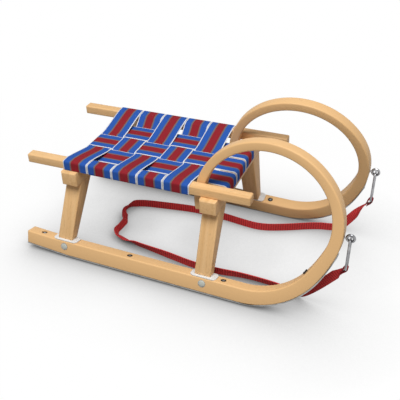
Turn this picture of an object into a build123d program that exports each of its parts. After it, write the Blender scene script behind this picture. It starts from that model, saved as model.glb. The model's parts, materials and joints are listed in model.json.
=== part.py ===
"""Wooden horn sled with a woven webbing seat and a tow strap.

Millimetres. +X runs forward to the horns, +Y to the sled's left and +Z up. The origin is on the
floor, in the middle of the sled's length and width. Pieces of the right side (y < 0) are modelled,
and the left side is their mirror image.
"""

import os
from math import cos, degrees, radians, sin, tan

from build123d import *

# Runners: each one lies in a plane that leans inwards, and its front is bent round into a horn.
RUNNER_LEAN = 12.5
RUNNER_Y = 173.7
RUNNER_WIDTH = 30.0
RUNNER_HEIGHT = 35.0
RUNNER_REAR_X = -371.3
HEEL_LENGTH = 110.0
HEEL_RISE = 7.0
HEEL_LIFT = 3.0
HEEL_LIFT_GAP = 4.3
BEND_START_X = 156.0

# Horns: arcs of the runner's centre line, as (radius, turn in degrees), from the floor to the tip.
HORN_ARCS = ((167.0, 58.0), (310.0, 13.0), (139.0, 47.5), (151.5, 108.0), (145.5, 56.5))
HORN_WIDTH = 29.0
HORN_THICKNESS = 19.6
HORN_TAPER_LENGTH = 402.0
HORN_CURL_START = 135.0
HORN_TIP_INSET = 29.2
HORN_TIP_WIDTH = 25.0
HORN_TWIST = 7.5
HORN_TIP_TURN = sum(turn for radius, turn in HORN_ARCS)
HORN_STATIONS = (0, 15, 30, 45, 58, 71, 87, 103, 118.5, 140, 160, 180, 200, 226.5, 245, 265, HORN_TIP_TURN)

# Steel running strips under the runners, up to the given turn of the front bend.
SHOE_WIDTH = 26.0
SHOE_THICKNESS = 2.5
SHOE_BLANK_DEPTH = 3.0
SHOE_STATIONS = (0, 15, 30, 45, 58, 71)

# Seat frame: the plane on which the rails rest, a little higher at the front.
SEAT_X = -94.25
SEAT_Z = 217.4
SEAT_PITCH = 1.6
RAIL_INNER_Y = 117.4
RAIL_WIDTH = 23.0
RAIL_HEIGHT = 21.0
RAIL_REAR = -272.7
RAIL_FRONT = 251.3
RAIL_EDGE = 2.0
BEAM_LIP = 3.5
BEAM_FRONT = 163.3
BEAM_DEPTH = 37.0
BEAM_HEIGHT = 33.0
BEAM_LENGTH = 304.0
BEAM_ROUND = 8.0
BEAM_END_CHAMFER = 2.5

# Legs, with the plastic plate under each foot and the pin through the runner below it.
LEG_DEPTH = 37.0
LEG_FOOT_WIDTH = 25.0
LEG_FOOT_OFFSET = 1.2
LEG_TOP_WIDTH = 46.0
LEG_TOP_Y = 110.5
LEG_FOOT_FRONT_X = 67.8
LEG_FOOT_SETBACK = 98.3
PLATE_LENGTH = 60.0
PLATE_WIDTH = 29.0
PLATE_THICKNESS = 3.0
PLATE_CORNER = 9.0
PLATE_SHIFT = 2.0
PIN_RADIUS = 8.5
PIN_HEAD = 3.0
PIN_CHAMFER = 1.5
PIN_RISE = 22.0
PIN_SHIFT = 2.5
PIN_SIDES = 40

# Webbing: five bands across and three along, woven over and under.
BAND_WIDTH = 58.0
BAND_GAP = 2.0
BAND_THICKNESS = 1.6
BAND_CLEARANCE = 0.3
OVER_REACH = 12.0
UNDER_REACH = 2.4
CROSS_FRONT_EDGE = 119.0
CROSS_COUNT = 5
LENGTH_BAND_DROP = 24.0
LENGTH_BAND_BEND = 4.5

# Tow fittings: a screw eye in each horn, with a long wire link hanging in it. Both have an eight-sided
# section.
EYE_RING = 7.5
EYE_WIRE = 2.8
EYE_TURN = 87.5
EYE_REACH = 12.9
EYE_SHANK = 2.4
EYE_SHANK_DEPTH = 14.0
LINK_WIRE = 2.3
LINK_WIDTH = 16.5
LINK_LENGTH = 72.0
LINK_CORNER = 4.0
LINK_CLEARANCE = 0.3
RING_SIDES = 20
OCTAGON_CHAMFER = 2 - 2**0.5

# Tow strap: webbing that stands on its edge, with a sewn loop round each link.
STRAP_WIDTH = 20.0
STRAP_THICKNESS = 2.0
LOOP_WIDTH = 8.0
LOOP_RADIUS = 7.0
LOOP_THICKNESS = 1.6
LOOP_BACK = 37.0
BEND_SHARE = 0.45

# Route of the strap's middle, from the right link to the left one: the rise, the floor, the rise.
STRAP_RISE_RIGHT = ((351.2, -129.2, 113.6), (280.0, -116.2, 10.0), (246.0, -110.0, 10.0))
STRAP_FLOOR = (
    (246.0, -110.0), (205.0, -102.5), (135.0, -101.0), (81.0, -110.0), (25.0, -111.0),
    (-41.0, -97.0), (-103.0, -87.0), (-158.0, -83.0), (-196.0, -72.0), (-211.0, -45.0),
    (-209.0, -18.0), (-216.0, 18.0), (-225.0, 42.0), (-214.0, 71.0), (-185.0, 75.0),
    (-148.0, 79.0), (-100.0, 88.0), (-53.0, 95.0), (22.0, 93.0), (68.0, 87.0),
    (118.0, 84.0), (175.0, 108.0), (218.0, 131.0), (250.0, 146.0), (270.0, 143.3),
)
STRAP_RISE_LEFT = ((270.0, 143.3, 10.0), (294.0, 140.1, 10.0), (320.0, 136.6, 50.0), (352.7, 132.1, 112.7))

os.makedirs("parts", exist_ok=True)


def save(piece, node):
    """Label a finished piece and write its STEP file."""
    piece.part.label = node
    export_step(piece.part, f"parts/{node}.step")


def save_pair(piece, stem):
    """Save a right-hand piece, and its mirror image for the left side."""
    save(piece, f"{stem}_right")
    with BuildPart() as twin:
        mirror(piece.part, about=Plane.XZ)
    save(twin, f"{stem}_left")


# The runner's plane: local x forward, local y up along the lean, local z outwards.
lean = radians(RUNNER_LEAN)
runner_base = SHOE_THICKNESS * cos(lean) + SHOE_WIDTH / 2 * sin(lean)
runner_up = Vector(0, sin(lean), cos(lean))
runner_plane = Plane(
    origin=(0, -RUNNER_Y, runner_base), x_dir=(1, 0, 0), z_dir=(0, -cos(lean), sin(lean))
)

# The rear feet keep their distance from the runners' rear ends, which are lifted behind the plates.
foot_rear_x = RUNNER_REAR_X + LEG_FOOT_SETBACK
heel_lift_x = foot_rear_x + PLATE_SHIFT - PLATE_LENGTH / 2 - HEEL_LIFT_GAP

# The seat's plane: local x forward along the rails, local z up.
pitch = radians(SEAT_PITCH)
seat_plane = Plane(
    origin=(SEAT_X, 0, SEAT_Z), x_dir=(cos(pitch), 0, sin(pitch)), z_dir=(-sin(pitch), 0, cos(pitch))
)


def horn_point(turn):
    """Centre of the horn in the runner's plane, and its length so far, after a turn in degrees."""
    x, y, heading, length = BEND_START_X, RUNNER_HEIGHT / 2, 0.0, 0.0
    for radius, angle in HORN_ARCS:
        step = radians(min(angle, turn - degrees(heading)))
        x += radius * (sin(heading + step) - sin(heading))
        y += radius * (cos(heading) - cos(heading + step))
        length += radius * step
        heading += step
    return x, y, length


def horn_section(turn):
    """Plane across the horn, with local x outwards from the bend, and its shares of taper and curl."""
    x, y, length = horn_point(turn)
    taper = min(1.0, length / HORN_TAPER_LENGTH)
    curl = max(0.0, turn - HORN_CURL_START) / (HORN_TIP_TURN - HORN_CURL_START)
    angle = radians(turn)
    twist = radians(HORN_TWIST) * max(0.0, -cos(angle))
    outwards = Vector(1, 0, 0) * sin(angle) - runner_up * cos(angle)
    outwards = outwards * cos(twist) + runner_plane.z_dir * sin(twist)
    along = Vector(1, 0, 0) * cos(angle) + runner_up * sin(angle)
    centre = runner_plane.from_local_coords(Vector(x, y, 0)) + Vector(0, HORN_TIP_INSET * curl**2, 0)
    return Plane(origin=centre, x_dir=outwards, z_dir=along), taper, curl


def horn_thickness(taper):
    """Thickness of the horn at a share of its taper."""
    return RUNNER_HEIGHT + (HORN_THICKNESS - RUNNER_HEIGHT) * taper


def horn_width(taper, curl):
    """Width of the horn at its shares of taper and curl."""
    return RUNNER_WIDTH + (HORN_WIDTH - RUNNER_WIDTH) * taper + (HORN_TIP_WIDTH - HORN_WIDTH) * curl


def seat_section(x):
    """Plane across the seat at a place along the rails, with local x to the left and local y up."""
    origin = seat_plane.from_local_coords(Vector(x, 0, 0))
    return Plane(origin=origin, x_dir=(0, 1, 0), z_dir=seat_plane.x_dir)


# Bands across, counted from the rear; the rear beam stands a little behind the first one.
band_pitch = BAND_WIDTH + BAND_GAP
cross_places = [
    CROSS_FRONT_EDGE - BAND_WIDTH / 2 - ahead * band_pitch for ahead in reversed(range(CROSS_COUNT))
]
beam_rear = cross_places[0] - BAND_WIDTH / 2 - BEAM_LIP + BEAM_DEPTH / 2

# Crossbeams, with the ends square and the outer top edge round where the webbing runs over it.
beams = {}
for node, beam_x, front in (("crossbeam_rear", beam_rear, -1), ("crossbeam_front", BEAM_FRONT, 1)):
    with BuildPart() as beam:
        with BuildSketch(seat_section(beam_x - BEAM_DEPTH / 2)):
            Rectangle(BEAM_LENGTH, BEAM_HEIGHT, align=(Align.CENTER, Align.MAX))
        extrude(amount=BEAM_DEPTH)
        end_edges = beam.faces().sort_by(Axis.Y)[0].edges() + beam.faces().sort_by(Axis.Y)[-1].edges()
        chamfer(end_edges, BEAM_END_CHAMFER)
        with BuildSketch(Plane(origin=seat_plane.origin, x_dir=seat_plane.x_dir, z_dir=(0, -1, 0))):
            with Locations((beam_x + front * BEAM_DEPTH / 2, 0)):
                Rectangle(2 * BEAM_ROUND, 2 * BEAM_ROUND)
            with Locations((beam_x + front * (BEAM_DEPTH / 2 - BEAM_ROUND), -BEAM_ROUND)):
                Circle(BEAM_ROUND, mode=Mode.SUBTRACT)
        extrude(amount=RAIL_INNER_Y, both=True, mode=Mode.SUBTRACT)
    beams[node] = beam
    save(beam, node)

# Runners with their horns, and the steel strips under them.
eye_section, eye_taper, eye_curl = horn_section(EYE_TURN)
eye_centre = eye_section.origin + eye_section.x_dir * (horn_thickness(eye_taper) / 2 + EYE_REACH)
with BuildPart() as runner:
    with BuildSketch(runner_plane):
        with BuildLine():
            Polyline(
                (RUNNER_REAR_X, RUNNER_HEIGHT + HEEL_LIFT), (RUNNER_REAR_X, HEEL_RISE),
                (RUNNER_REAR_X + HEEL_LENGTH, 0), (BEND_START_X, 0), (BEND_START_X, RUNNER_HEIGHT),
                (heel_lift_x, RUNNER_HEIGHT), close=True,
            )
        make_face()
    extrude(amount=RUNNER_WIDTH / 2, both=True)
    for turn in HORN_STATIONS:
        section, taper, curl = horn_section(turn)
        with BuildSketch(section):
            Rectangle(horn_thickness(taper), horn_width(taper, curl))
    loft()
    add(beams["crossbeam_front"].part, mode=Mode.SUBTRACT)
    with BuildSketch(Plane(origin=eye_centre, x_dir=(0, 1, 0), z_dir=(-1, 0, 0))):
        Circle(EYE_SHANK)
    extrude(amount=EYE_REACH + EYE_SHANK_DEPTH, mode=Mode.SUBTRACT)
save_pair(runner, "runner")

# Each strip starts as a blank that reaches into the runner, which then trims it to its own shape.
with BuildPart() as shoe:
    with BuildSketch(runner_plane):
        with BuildLine():
            Polyline(
                (RUNNER_REAR_X, HEEL_RISE - SHOE_THICKNESS), (RUNNER_REAR_X + HEEL_LENGTH, -SHOE_THICKNESS),
                (BEND_START_X, -SHOE_THICKNESS), (BEND_START_X, SHOE_BLANK_DEPTH),
                (RUNNER_REAR_X + HEEL_LENGTH, SHOE_BLANK_DEPTH),
                (RUNNER_REAR_X, HEEL_RISE + SHOE_BLANK_DEPTH), close=True,
            )
        make_face()
    extrude(amount=SHOE_WIDTH / 2, both=True)
    for turn in SHOE_STATIONS:
        section, taper, curl = horn_section(turn)
        with BuildSketch(section):
            with Locations((horn_thickness(taper) / 2 + SHOE_THICKNESS, 0)):
                Rectangle(
                    SHOE_THICKNESS + SHOE_BLANK_DEPTH, horn_width(taper, curl) - RUNNER_WIDTH + SHOE_WIDTH,
                    align=(Align.MAX, Align.CENTER),
                )
    loft()
    add(runner.part, mode=Mode.SUBTRACT)
save_pair(shoe, "runner_shoe")

# Rails
with BuildPart() as rail:
    with BuildSketch(seat_section(RAIL_REAR)):
        with Locations((-RAIL_INNER_Y, 0)):
            Rectangle(RAIL_WIDTH, RAIL_HEIGHT, align=(Align.MAX, Align.MIN))
    extrude(amount=RAIL_FRONT - RAIL_REAR)
    chamfer(rail.edges(), RAIL_EDGE)
save_pair(rail, "rail")

# Legs: a foot plate on the runner, the leg down from its crossbeam and cut off at the plate, and the
# pin in the runner's side.
for place, foot_x, beam_x in (("rear", foot_rear_x, beam_rear), ("front", LEG_FOOT_FRONT_X, BEAM_FRONT)):
    foot = runner_plane.from_local_coords(Vector(foot_x, RUNNER_HEIGHT, 0))
    plate_plane = Plane(origin=foot, x_dir=(1, 0, 0), z_dir=runner_up)
    leg_end = plate_plane.from_local_coords(Vector(0, LEG_FOOT_OFFSET, PLATE_THICKNESS))
    leg_end -= Vector(0, 0, LEG_FOOT_WIDTH * tan(lean))
    with BuildPart() as plate:
        with BuildSketch(plate_plane):
            with Locations((PLATE_SHIFT, 0)):
                RectangleRounded(PLATE_LENGTH, PLATE_WIDTH, PLATE_CORNER)
        extrude(amount=PLATE_THICKNESS)
    save_pair(plate, f"foot_plate_{place}")

    with BuildPart() as leg:
        leg_top = seat_plane.from_local_coords(Vector(beam_x, -LEG_TOP_Y, -BEAM_HEIGHT))
        rise = Vector(leg_top.X - leg_end.X, 0, leg_top.Z - leg_end.Z)
        shift = leg_top.Y - leg_end.Y
        rear_corner = leg_end - seat_plane.x_dir * (LEG_DEPTH / 2)
        with BuildSketch(Plane(origin=rear_corner, x_dir=(0, 1, 0), z_dir=Vector(0, 1, 0).cross(rise))):
            with BuildLine():
                Polyline(
                    (-LEG_FOOT_WIDTH / 2, 0), (LEG_FOOT_WIDTH / 2, 0),
                    (shift + LEG_TOP_WIDTH / 2, rise.length), (shift - LEG_TOP_WIDTH / 2, rise.length),
                    close=True,
                )
            make_face()
        extrude(amount=LEG_DEPTH, dir=seat_plane.x_dir)
        split(bisect_by=plate_plane.offset(PLATE_THICKNESS))
    save_pair(leg, f"leg_{place}")

    with BuildPart() as pin:
        with BuildSketch(runner_plane.offset(RUNNER_WIDTH / 2)):
            with Locations((foot_x + PIN_SHIFT, PIN_RISE)):
                RegularPolygon(PIN_RADIUS, PIN_SIDES)
        extrude(amount=PIN_HEAD)
        chamfer(pin.faces().sort_by(Axis(runner_plane.origin, runner_plane.z_dir))[-1].edges(), PIN_CHAMFER)
    save_pair(pin, f"foot_pin_{place}")

# Webbing levels above the seat's plane: under, middle and over, each clear of the next.
band_step = BAND_THICKNESS + BAND_CLEARANCE
level_under = BAND_CLEARANCE + BAND_THICKNESS / 2
level_length = level_under + band_step
level_over = level_length + band_step
wrap = BAND_CLEARANCE + BAND_THICKNESS / 2
rail_outer_y = RAIL_INNER_Y + RAIL_WIDTH

for number, band_x in enumerate(cross_places, start=1):
    if number % 2:
        outer, inner, reach = level_over, level_under, band_pitch / 2 + OVER_REACH
    else:
        outer, inner, reach = level_under, level_over, band_pitch + BAND_WIDTH / 2 + UNDER_REACH
    over_beam = abs(band_x - beam_rear) < (BAND_WIDTH + BEAM_DEPTH) / 2
    half = [(band_pitch / 2, inner), (band_pitch / 2, outer), (reach, outer)]
    half += [(RAIL_INNER_Y - wrap, RAIL_HEIGHT + wrap), (rail_outer_y + wrap, RAIL_HEIGHT + wrap)]
    if over_beam:
        half += [(rail_outer_y + wrap, BAND_CLEARANCE)]
    else:
        half += [(rail_outer_y + wrap, -wrap), (RAIL_INNER_Y, -wrap)]
    with BuildPart() as band:
        with BuildSketch(seat_section(band_x - BAND_WIDTH / 2)):
            with BuildLine():
                Polyline([(-y, z) for y, z in reversed(half)] + half)
            trace(line_width=BAND_THICKNESS)
        extrude(amount=BAND_WIDTH)
    save(band, f"cross_band_{number}")

side_plane = Plane(origin=seat_plane.origin, x_dir=seat_plane.x_dir, z_dir=(0, -1, 0))
rear_face = beam_rear - BEAM_DEPTH / 2 - wrap
front_face = BEAM_FRONT + BEAM_DEPTH / 2 + wrap
for node, band_y in (("right", -band_pitch), ("middle", 0.0), ("left", band_pitch)):
    with BuildPart() as band:
        with BuildSketch(side_plane.offset(-band_y)):
            with BuildLine():
                FilletPolyline(
                    (rear_face, -LENGTH_BAND_DROP), (rear_face, level_length),
                    (front_face, level_length), (front_face, -LENGTH_BAND_DROP), radius=LENGTH_BAND_BEND,
                )
            trace(line_width=BAND_THICKNESS)
        extrude(amount=BAND_WIDTH / 2, both=True)
    save(band, f"length_band_{node}")

# Screw eyes and links
with BuildPart() as eye:
    with BuildSketch(Plane(origin=eye_centre, x_dir=(1, 0, 0), z_dir=(0, -1, 0))):
        RegularPolygon(EYE_RING + EYE_WIRE, RING_SIDES)
        RegularPolygon(EYE_RING - EYE_WIRE, RING_SIDES, mode=Mode.SUBTRACT)
    extrude(amount=EYE_WIRE, both=True)
    chamfer(eye.edges().filter_by(Axis.Y, reverse=True), EYE_WIRE * OCTAGON_CHAMFER)
    with BuildSketch(Plane(origin=eye_centre - Vector(EYE_RING, 0, 0), x_dir=(0, 1, 0), z_dir=(-1, 0, 0))):
        Circle(EYE_SHANK)
    extrude(amount=EYE_REACH + EYE_SHANK_DEPTH - EYE_RING)
save_pair(eye, "screw_eye")

link_top = eye_centre.Z - (EYE_RING - EYE_WIRE - LINK_WIRE - LINK_CLEARANCE)
link_plane = Plane(origin=(eye_centre.X, eye_centre.Y, link_top), x_dir=(0, 1, 0), z_dir=(1, 0, 0))
with BuildPart() as link:
    with BuildSketch(link_plane):
        with Locations((0, -LINK_LENGTH / 2)):
            RectangleRounded(LINK_WIDTH + 2 * LINK_WIRE, LINK_LENGTH + 2 * LINK_WIRE, LINK_CORNER + LINK_WIRE)
            RectangleRounded(
                LINK_WIDTH - 2 * LINK_WIRE, LINK_LENGTH - 2 * LINK_WIRE, LINK_CORNER - LINK_WIRE,
                mode=Mode.SUBTRACT,
            )
    extrude(amount=LINK_WIRE, both=True)
    chamfer(link.edges().filter_by(Axis.X, reverse=True), LINK_WIRE * OCTAGON_CHAMFER)
save_pair(link, "tow_link")

# Sewn loops round the links' lower bars
bar = Vector(eye_centre.X, eye_centre.Y, link_top - LINK_LENGTH)
loop_back = radians(LOOP_BACK)
loop_shift = LOOP_RADIUS - LINK_WIRE - LINK_CLEARANCE
loop_centre = bar - Vector(cos(loop_back), 0, sin(loop_back)) * loop_shift
with BuildPart() as loop:
    with BuildSketch(Plane(origin=loop_centre, x_dir=(1, 0, 0), z_dir=(0, 1, 0))):
        Circle(LOOP_RADIUS + LOOP_THICKNESS)
        Circle(LOOP_RADIUS, mode=Mode.SUBTRACT)
    extrude(amount=LOOP_WIDTH / 2, both=True)
save_pair(loop, "strap_loop")


def corner_radii(points):
    """Largest tangent arc for each corner of a route, from its shorter run and its turn."""
    radii = []
    for before, corner, after in zip(points, points[1:], points[2:]):
        run_in, run_out = Vector(*corner) - Vector(*before), Vector(*after) - Vector(*corner)
        turn = radians(run_in.get_angle(run_out))
        radii.append(BEND_SHARE * min(run_in.length, run_out.length) / tan(turn / 2))
    return radii


# Tow strap: the stretch on the floor, and the rise to each link in its own upright plane.
floor_radii = corner_radii(STRAP_FLOOR)
print("strap radii on the floor:", [round(radius) for radius in floor_radii])
with BuildPart() as strap:
    with BuildSketch():
        with BuildLine():
            FilletPolyline(*STRAP_FLOOR, radius=floor_radii)
        trace(line_width=STRAP_THICKNESS)
    extrude(amount=STRAP_WIDTH)
save(strap, "tow_strap_floor")

for node, route in (("right", STRAP_RISE_RIGHT[::-1]), ("left", STRAP_RISE_LEFT)):
    start, end = Vector(*route[0]), Vector(*route[-1])
    ahead = Vector(end.X - start.X, end.Y - start.Y, 0).normalized()
    rise_plane = Plane(origin=start, x_dir=ahead, z_dir=ahead.cross(Vector(0, 0, 1)))
    profile = [rise_plane.to_local_coords(Vector(*point)) for point in route]
    profile = [(point.X, point.Y) for point in profile]
    rise_radii = corner_radii(profile)
    print("strap radii on the", node, "rise:", [round(radius) for radius in rise_radii])
    with BuildPart() as rise:
        with BuildSketch(rise_plane):
            with BuildLine():
                FilletPolyline(*profile, radius=rise_radii)
            trace(line_width=STRAP_WIDTH)
        extrude(amount=STRAP_THICKNESS / 2, both=True)
    save(rise, f"tow_strap_rise_{node}")
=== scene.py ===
"""Looks of a wooden horn sled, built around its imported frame.

Metres, in the frame's own axes: +X forward to the horns, +Y to the sled's left, +Z up. Each
sub-assembly is a class that holds its sizes, builds its meshes and dresses them; each finish is a
frozen dataclass that writes one procedural material.
"""

from __future__ import annotations

import json
import logging
import math
from collections.abc import Callable, Mapping, Sequence
from dataclasses import dataclass
from enum import Enum

import bmesh
import bpy
from mathutils import Matrix, Vector

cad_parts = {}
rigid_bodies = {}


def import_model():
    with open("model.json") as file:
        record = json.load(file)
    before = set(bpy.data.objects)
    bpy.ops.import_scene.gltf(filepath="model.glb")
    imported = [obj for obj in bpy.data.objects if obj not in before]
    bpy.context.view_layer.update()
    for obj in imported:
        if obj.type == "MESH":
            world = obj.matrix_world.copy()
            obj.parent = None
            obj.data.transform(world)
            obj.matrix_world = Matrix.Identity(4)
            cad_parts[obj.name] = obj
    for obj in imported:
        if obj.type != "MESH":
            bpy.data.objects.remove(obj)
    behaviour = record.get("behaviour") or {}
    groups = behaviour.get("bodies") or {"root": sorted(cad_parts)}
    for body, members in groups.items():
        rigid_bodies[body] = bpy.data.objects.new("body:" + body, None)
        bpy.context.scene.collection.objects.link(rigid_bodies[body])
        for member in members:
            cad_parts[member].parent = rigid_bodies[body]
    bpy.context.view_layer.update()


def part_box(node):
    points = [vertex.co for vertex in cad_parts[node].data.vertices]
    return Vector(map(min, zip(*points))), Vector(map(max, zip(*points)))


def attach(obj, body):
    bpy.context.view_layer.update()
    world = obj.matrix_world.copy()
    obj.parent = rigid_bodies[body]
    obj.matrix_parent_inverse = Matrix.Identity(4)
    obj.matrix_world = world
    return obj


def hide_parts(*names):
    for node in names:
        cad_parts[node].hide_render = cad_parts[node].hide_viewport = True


LOG = logging.getLogger("sled")
ROOT = "root"
GRAIN = "grain"
FACING = "facing"
BAND_UV = "band"
ENDS = ("rear", "front")
X_AXIS = Vector((1, 0, 0)).freeze()
Y_AXIS = Vector((0, 1, 0)).freeze()
Z_AXIS = Vector((0, 0, 1)).freeze()

Colour = tuple[float, float, float]
Socket = bpy.types.NodeSocket
Input = Socket | float | str | Sequence[float] | bpy.types.ID
Spot = tuple[Vector, Vector]

BLACK: Colour = (0.0, 0.0, 0.0)
WHITE: Colour = (1.0, 1.0, 1.0)

# Numbers of a Mix node's sockets for colours, because their names are not unique.
MIX_FACTOR, MIX_FIRST, MIX_SECOND, MIX_RESULT = 0, 6, 7, 2

# Limits at which a CAD mesh's corners are one, its faces are flat together and its edges are sharp.
SAME_PLACE = 1e-6
FLAT_ANGLE = math.radians(1)
SHARP_ANGLE = math.radians(20)

# Angle in degrees above which an edge of webbing, and one of a bent wire, is shaded sharp.
WEBBING_CREASE = 60.0
WIRE_CREASE = 50.0


class Side(Enum):
    """A side of the sled; the value is the sign of its Y."""

    RIGHT = -1
    LEFT = 1

    @property
    def word(self) -> str:
        """Return the side's word in node names."""
        return self.name.lower()

    def place(self, point: Vector) -> Vector:
        """Return a right-hand point on this side."""
        return Vector((point.x, -self.value * point.y, point.z))


class Slot(Enum):
    """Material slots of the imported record."""

    WOOD = "wood"
    RUNNING_STEEL = "running_steel"
    FOOT_PLASTIC = "foot_plastic"
    PIN_METAL = "pin_metal"
    BRIGHT_STEEL = "bright_steel"
    SEAT_WEBBING = "seat_webbing"
    STRAP_WEBBING = "strap_webbing"


class Pass(Enum):
    """How a seat band passes another one; the value is the sign of its rise."""

    OVER = 1
    UNDER = -1


class NodeGraph:
    """A node tree, written one node after another."""

    def __init__(self, tree: bpy.types.NodeTree) -> None:
        """Take over a tree.

        Args:
            tree: The tree to write.
        """
        self.tree = tree

    def node(
        self, kind: str, inputs: Mapping[str | int, Input] | None = None, **settings: object
    ) -> bpy.types.Node:
        """Add a node.

        Args:
            kind: Blender's name of the node type.
            inputs: By an input's name or number, the socket that feeds it, or its own value.
            **settings: Properties of the node.

        Returns:
            The new node.
        """
        made = self.tree.nodes.new(kind)
        for key, value in settings.items():
            setattr(made, key, value)
        for key, value in (inputs or {}).items():
            if isinstance(value, Socket):
                self.tree.links.new(value, made.inputs[key])
            else:
                made.inputs[key].default_value = value
        return made


class ShaderGraph(NodeGraph):
    """The nodes of a material or of the world."""

    def __init__(self, tree: bpy.types.NodeTree) -> None:
        """Empty a tree and take it over.

        Args:
            tree: The tree to write.
        """
        super().__init__(tree)
        tree.nodes.clear()

    def math(self, operation: str, *values: Input) -> Socket:
        """Return the result of a Math node on one to three values."""
        return self.node("ShaderNodeMath", dict(enumerate(values)), operation=operation).outputs[0]

    def blend(self, share: Socket, first: Socket, second: Socket) -> Socket:
        """Return two shaders mixed by the share of the second."""
        return self.node("ShaderNodeMixShader", {0: share, 1: first, 2: second}).outputs["Shader"]

    def seen_directly(self) -> Socket:
        """Tell rays that show a background from those that light the sled.

        Returns:
            1 for rays from the camera, in reflections and through clear pieces, and 0 for the others.
        """
        rays = self.node("ShaderNodeLightPath").outputs
        seen = self.math("MAXIMUM", rays["Is Camera Ray"], rays["Is Glossy Ray"])
        return self.math("MAXIMUM", seen, rays["Is Transmission Ray"])


class MaterialGraph(ShaderGraph):
    """A new material's nodes."""

    def __init__(self, name: str) -> None:
        """Start an empty material.

        Args:
            name: The material's name.
        """
        self.material = bpy.data.materials.new(name)
        self.material.use_nodes = True
        super().__init__(self.material.node_tree)

    def object_place(self) -> Socket:
        """Return the Object coordinate."""
        return self.node("ShaderNodeTexCoord").outputs["Object"]

    def band_place(self) -> tuple[Socket, Socket, Socket]:
        """Read the UV map of a band.

        Returns:
            The whole coordinate, the share across the band and the length along it.
        """
        place = self.node("ShaderNodeUVMap", uv_map=BAND_UV).outputs["UV"]
        split = self.node("ShaderNodeSeparateXYZ", {"Vector": place})
        return place, split.outputs["X"], split.outputs["Y"]

    def stretch(self, vector: Socket, scale: Sequence[float]) -> Socket:
        """Return a vector scaled along each of its axes."""
        return self.node("ShaderNodeMapping", {"Vector": vector, "Scale": scale}).outputs["Vector"]

    def noise(self, vector: Socket, scale: float = 1.0, detail: float = 3.0) -> Socket:
        """Return the factor of a Noise Texture on a vector."""
        inputs = {"Vector": vector, "Scale": scale, "Detail": detail}
        return self.node("ShaderNodeTexNoise", inputs).outputs["Fac"]

    def streaks(self, grain: Socket, length: float, width: float, detail: float) -> Socket:
        """Return noise that is drawn out along the grain to a length and a width."""
        return self.noise(self.stretch(grain, (1 / length, 1 / width, 1 / width)), detail=detail)

    def wave(self, place: Socket, pitch: float) -> Socket:
        """Return a sine wave along a coordinate, with its crests a pitch apart."""
        return self.math("SINE", self.math("MULTIPLY", place, math.tau / pitch))

    def ramp(
        self, factor: Socket, stops: Sequence[tuple[float, Colour]], constant: bool = False
    ) -> Socket:
        """Return the colour of a ramp.

        Args:
            factor: The ramp's input, from 0 to 1.
            stops: Place and colour of each stop, in order.
            constant: True for stripes with hard edges.

        Returns:
            The colour output.
        """
        made = self.node("ShaderNodeValToRGB", {"Fac": factor})
        made.color_ramp.interpolation = "CONSTANT" if constant else "LINEAR"
        elements = made.color_ramp.elements
        while len(elements) < len(stops):
            elements.new(0.5)
        for element, (place, colour) in zip(elements, stops):
            element.position = place
            element.color = (*colour, 1.0)
        return made.outputs["Color"]

    def fade(self, factor: Socket, stops: Sequence[float], first: Colour, second: Colour) -> Socket:
        """Return a colour that goes over into a second one between two stops of a factor."""
        return self.ramp(factor, tuple(zip(stops, (first, second))))

    def spread(self, factor: Socket, low: float, high: float) -> Socket:
        """Return a factor mapped from 0..1 to low..high."""
        inputs = {"Value": factor, "To Min": low, "To Max": high}
        return self.node("ShaderNodeMapRange", inputs).outputs["Result"]

    def shade(self, colour: Socket, factor: Socket, low: float) -> Socket:
        """Return a colour darkened to a share of itself where a factor is 0.

        Args:
            colour: The colour to darken.
            factor: 0 where it is darkest and 1 where it stays.
            low: The share that is left at 0.

        Returns:
            The darkened colour.
        """
        inputs = {MIX_FACTOR: 1.0, MIX_FIRST: colour, MIX_SECOND: self.spread(factor, low, 1.0)}
        made = self.node("ShaderNodeMix", inputs, data_type="RGBA", blend_type="MULTIPLY")
        return made.outputs[MIX_RESULT]

    def bump(self, height: Socket, strength: float, distance: float) -> Socket:
        """Return the normal of a Bump node."""
        inputs = {"Height": height, "Strength": strength, "Distance": distance}
        return self.node("ShaderNodeBump", inputs).outputs["Normal"]

    def finish(self, surface: Socket) -> bpy.types.Material:
        """End the material in a shader and return it."""
        self.node("ShaderNodeOutputMaterial", {"Surface": surface})
        return self.material

    def surface(self, **inputs: Input) -> bpy.types.Material:
        """End the material in a Principled BSDF.

        Args:
            **inputs: The shader's inputs, with underscores for the spaces of their names.

        Returns:
            The finished material.
        """
        named = {key.replace("_", " "): value for key, value in inputs.items()}
        return self.finish(self.node("ShaderNodeBsdfPrincipled", named).outputs["BSDF"])


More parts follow.
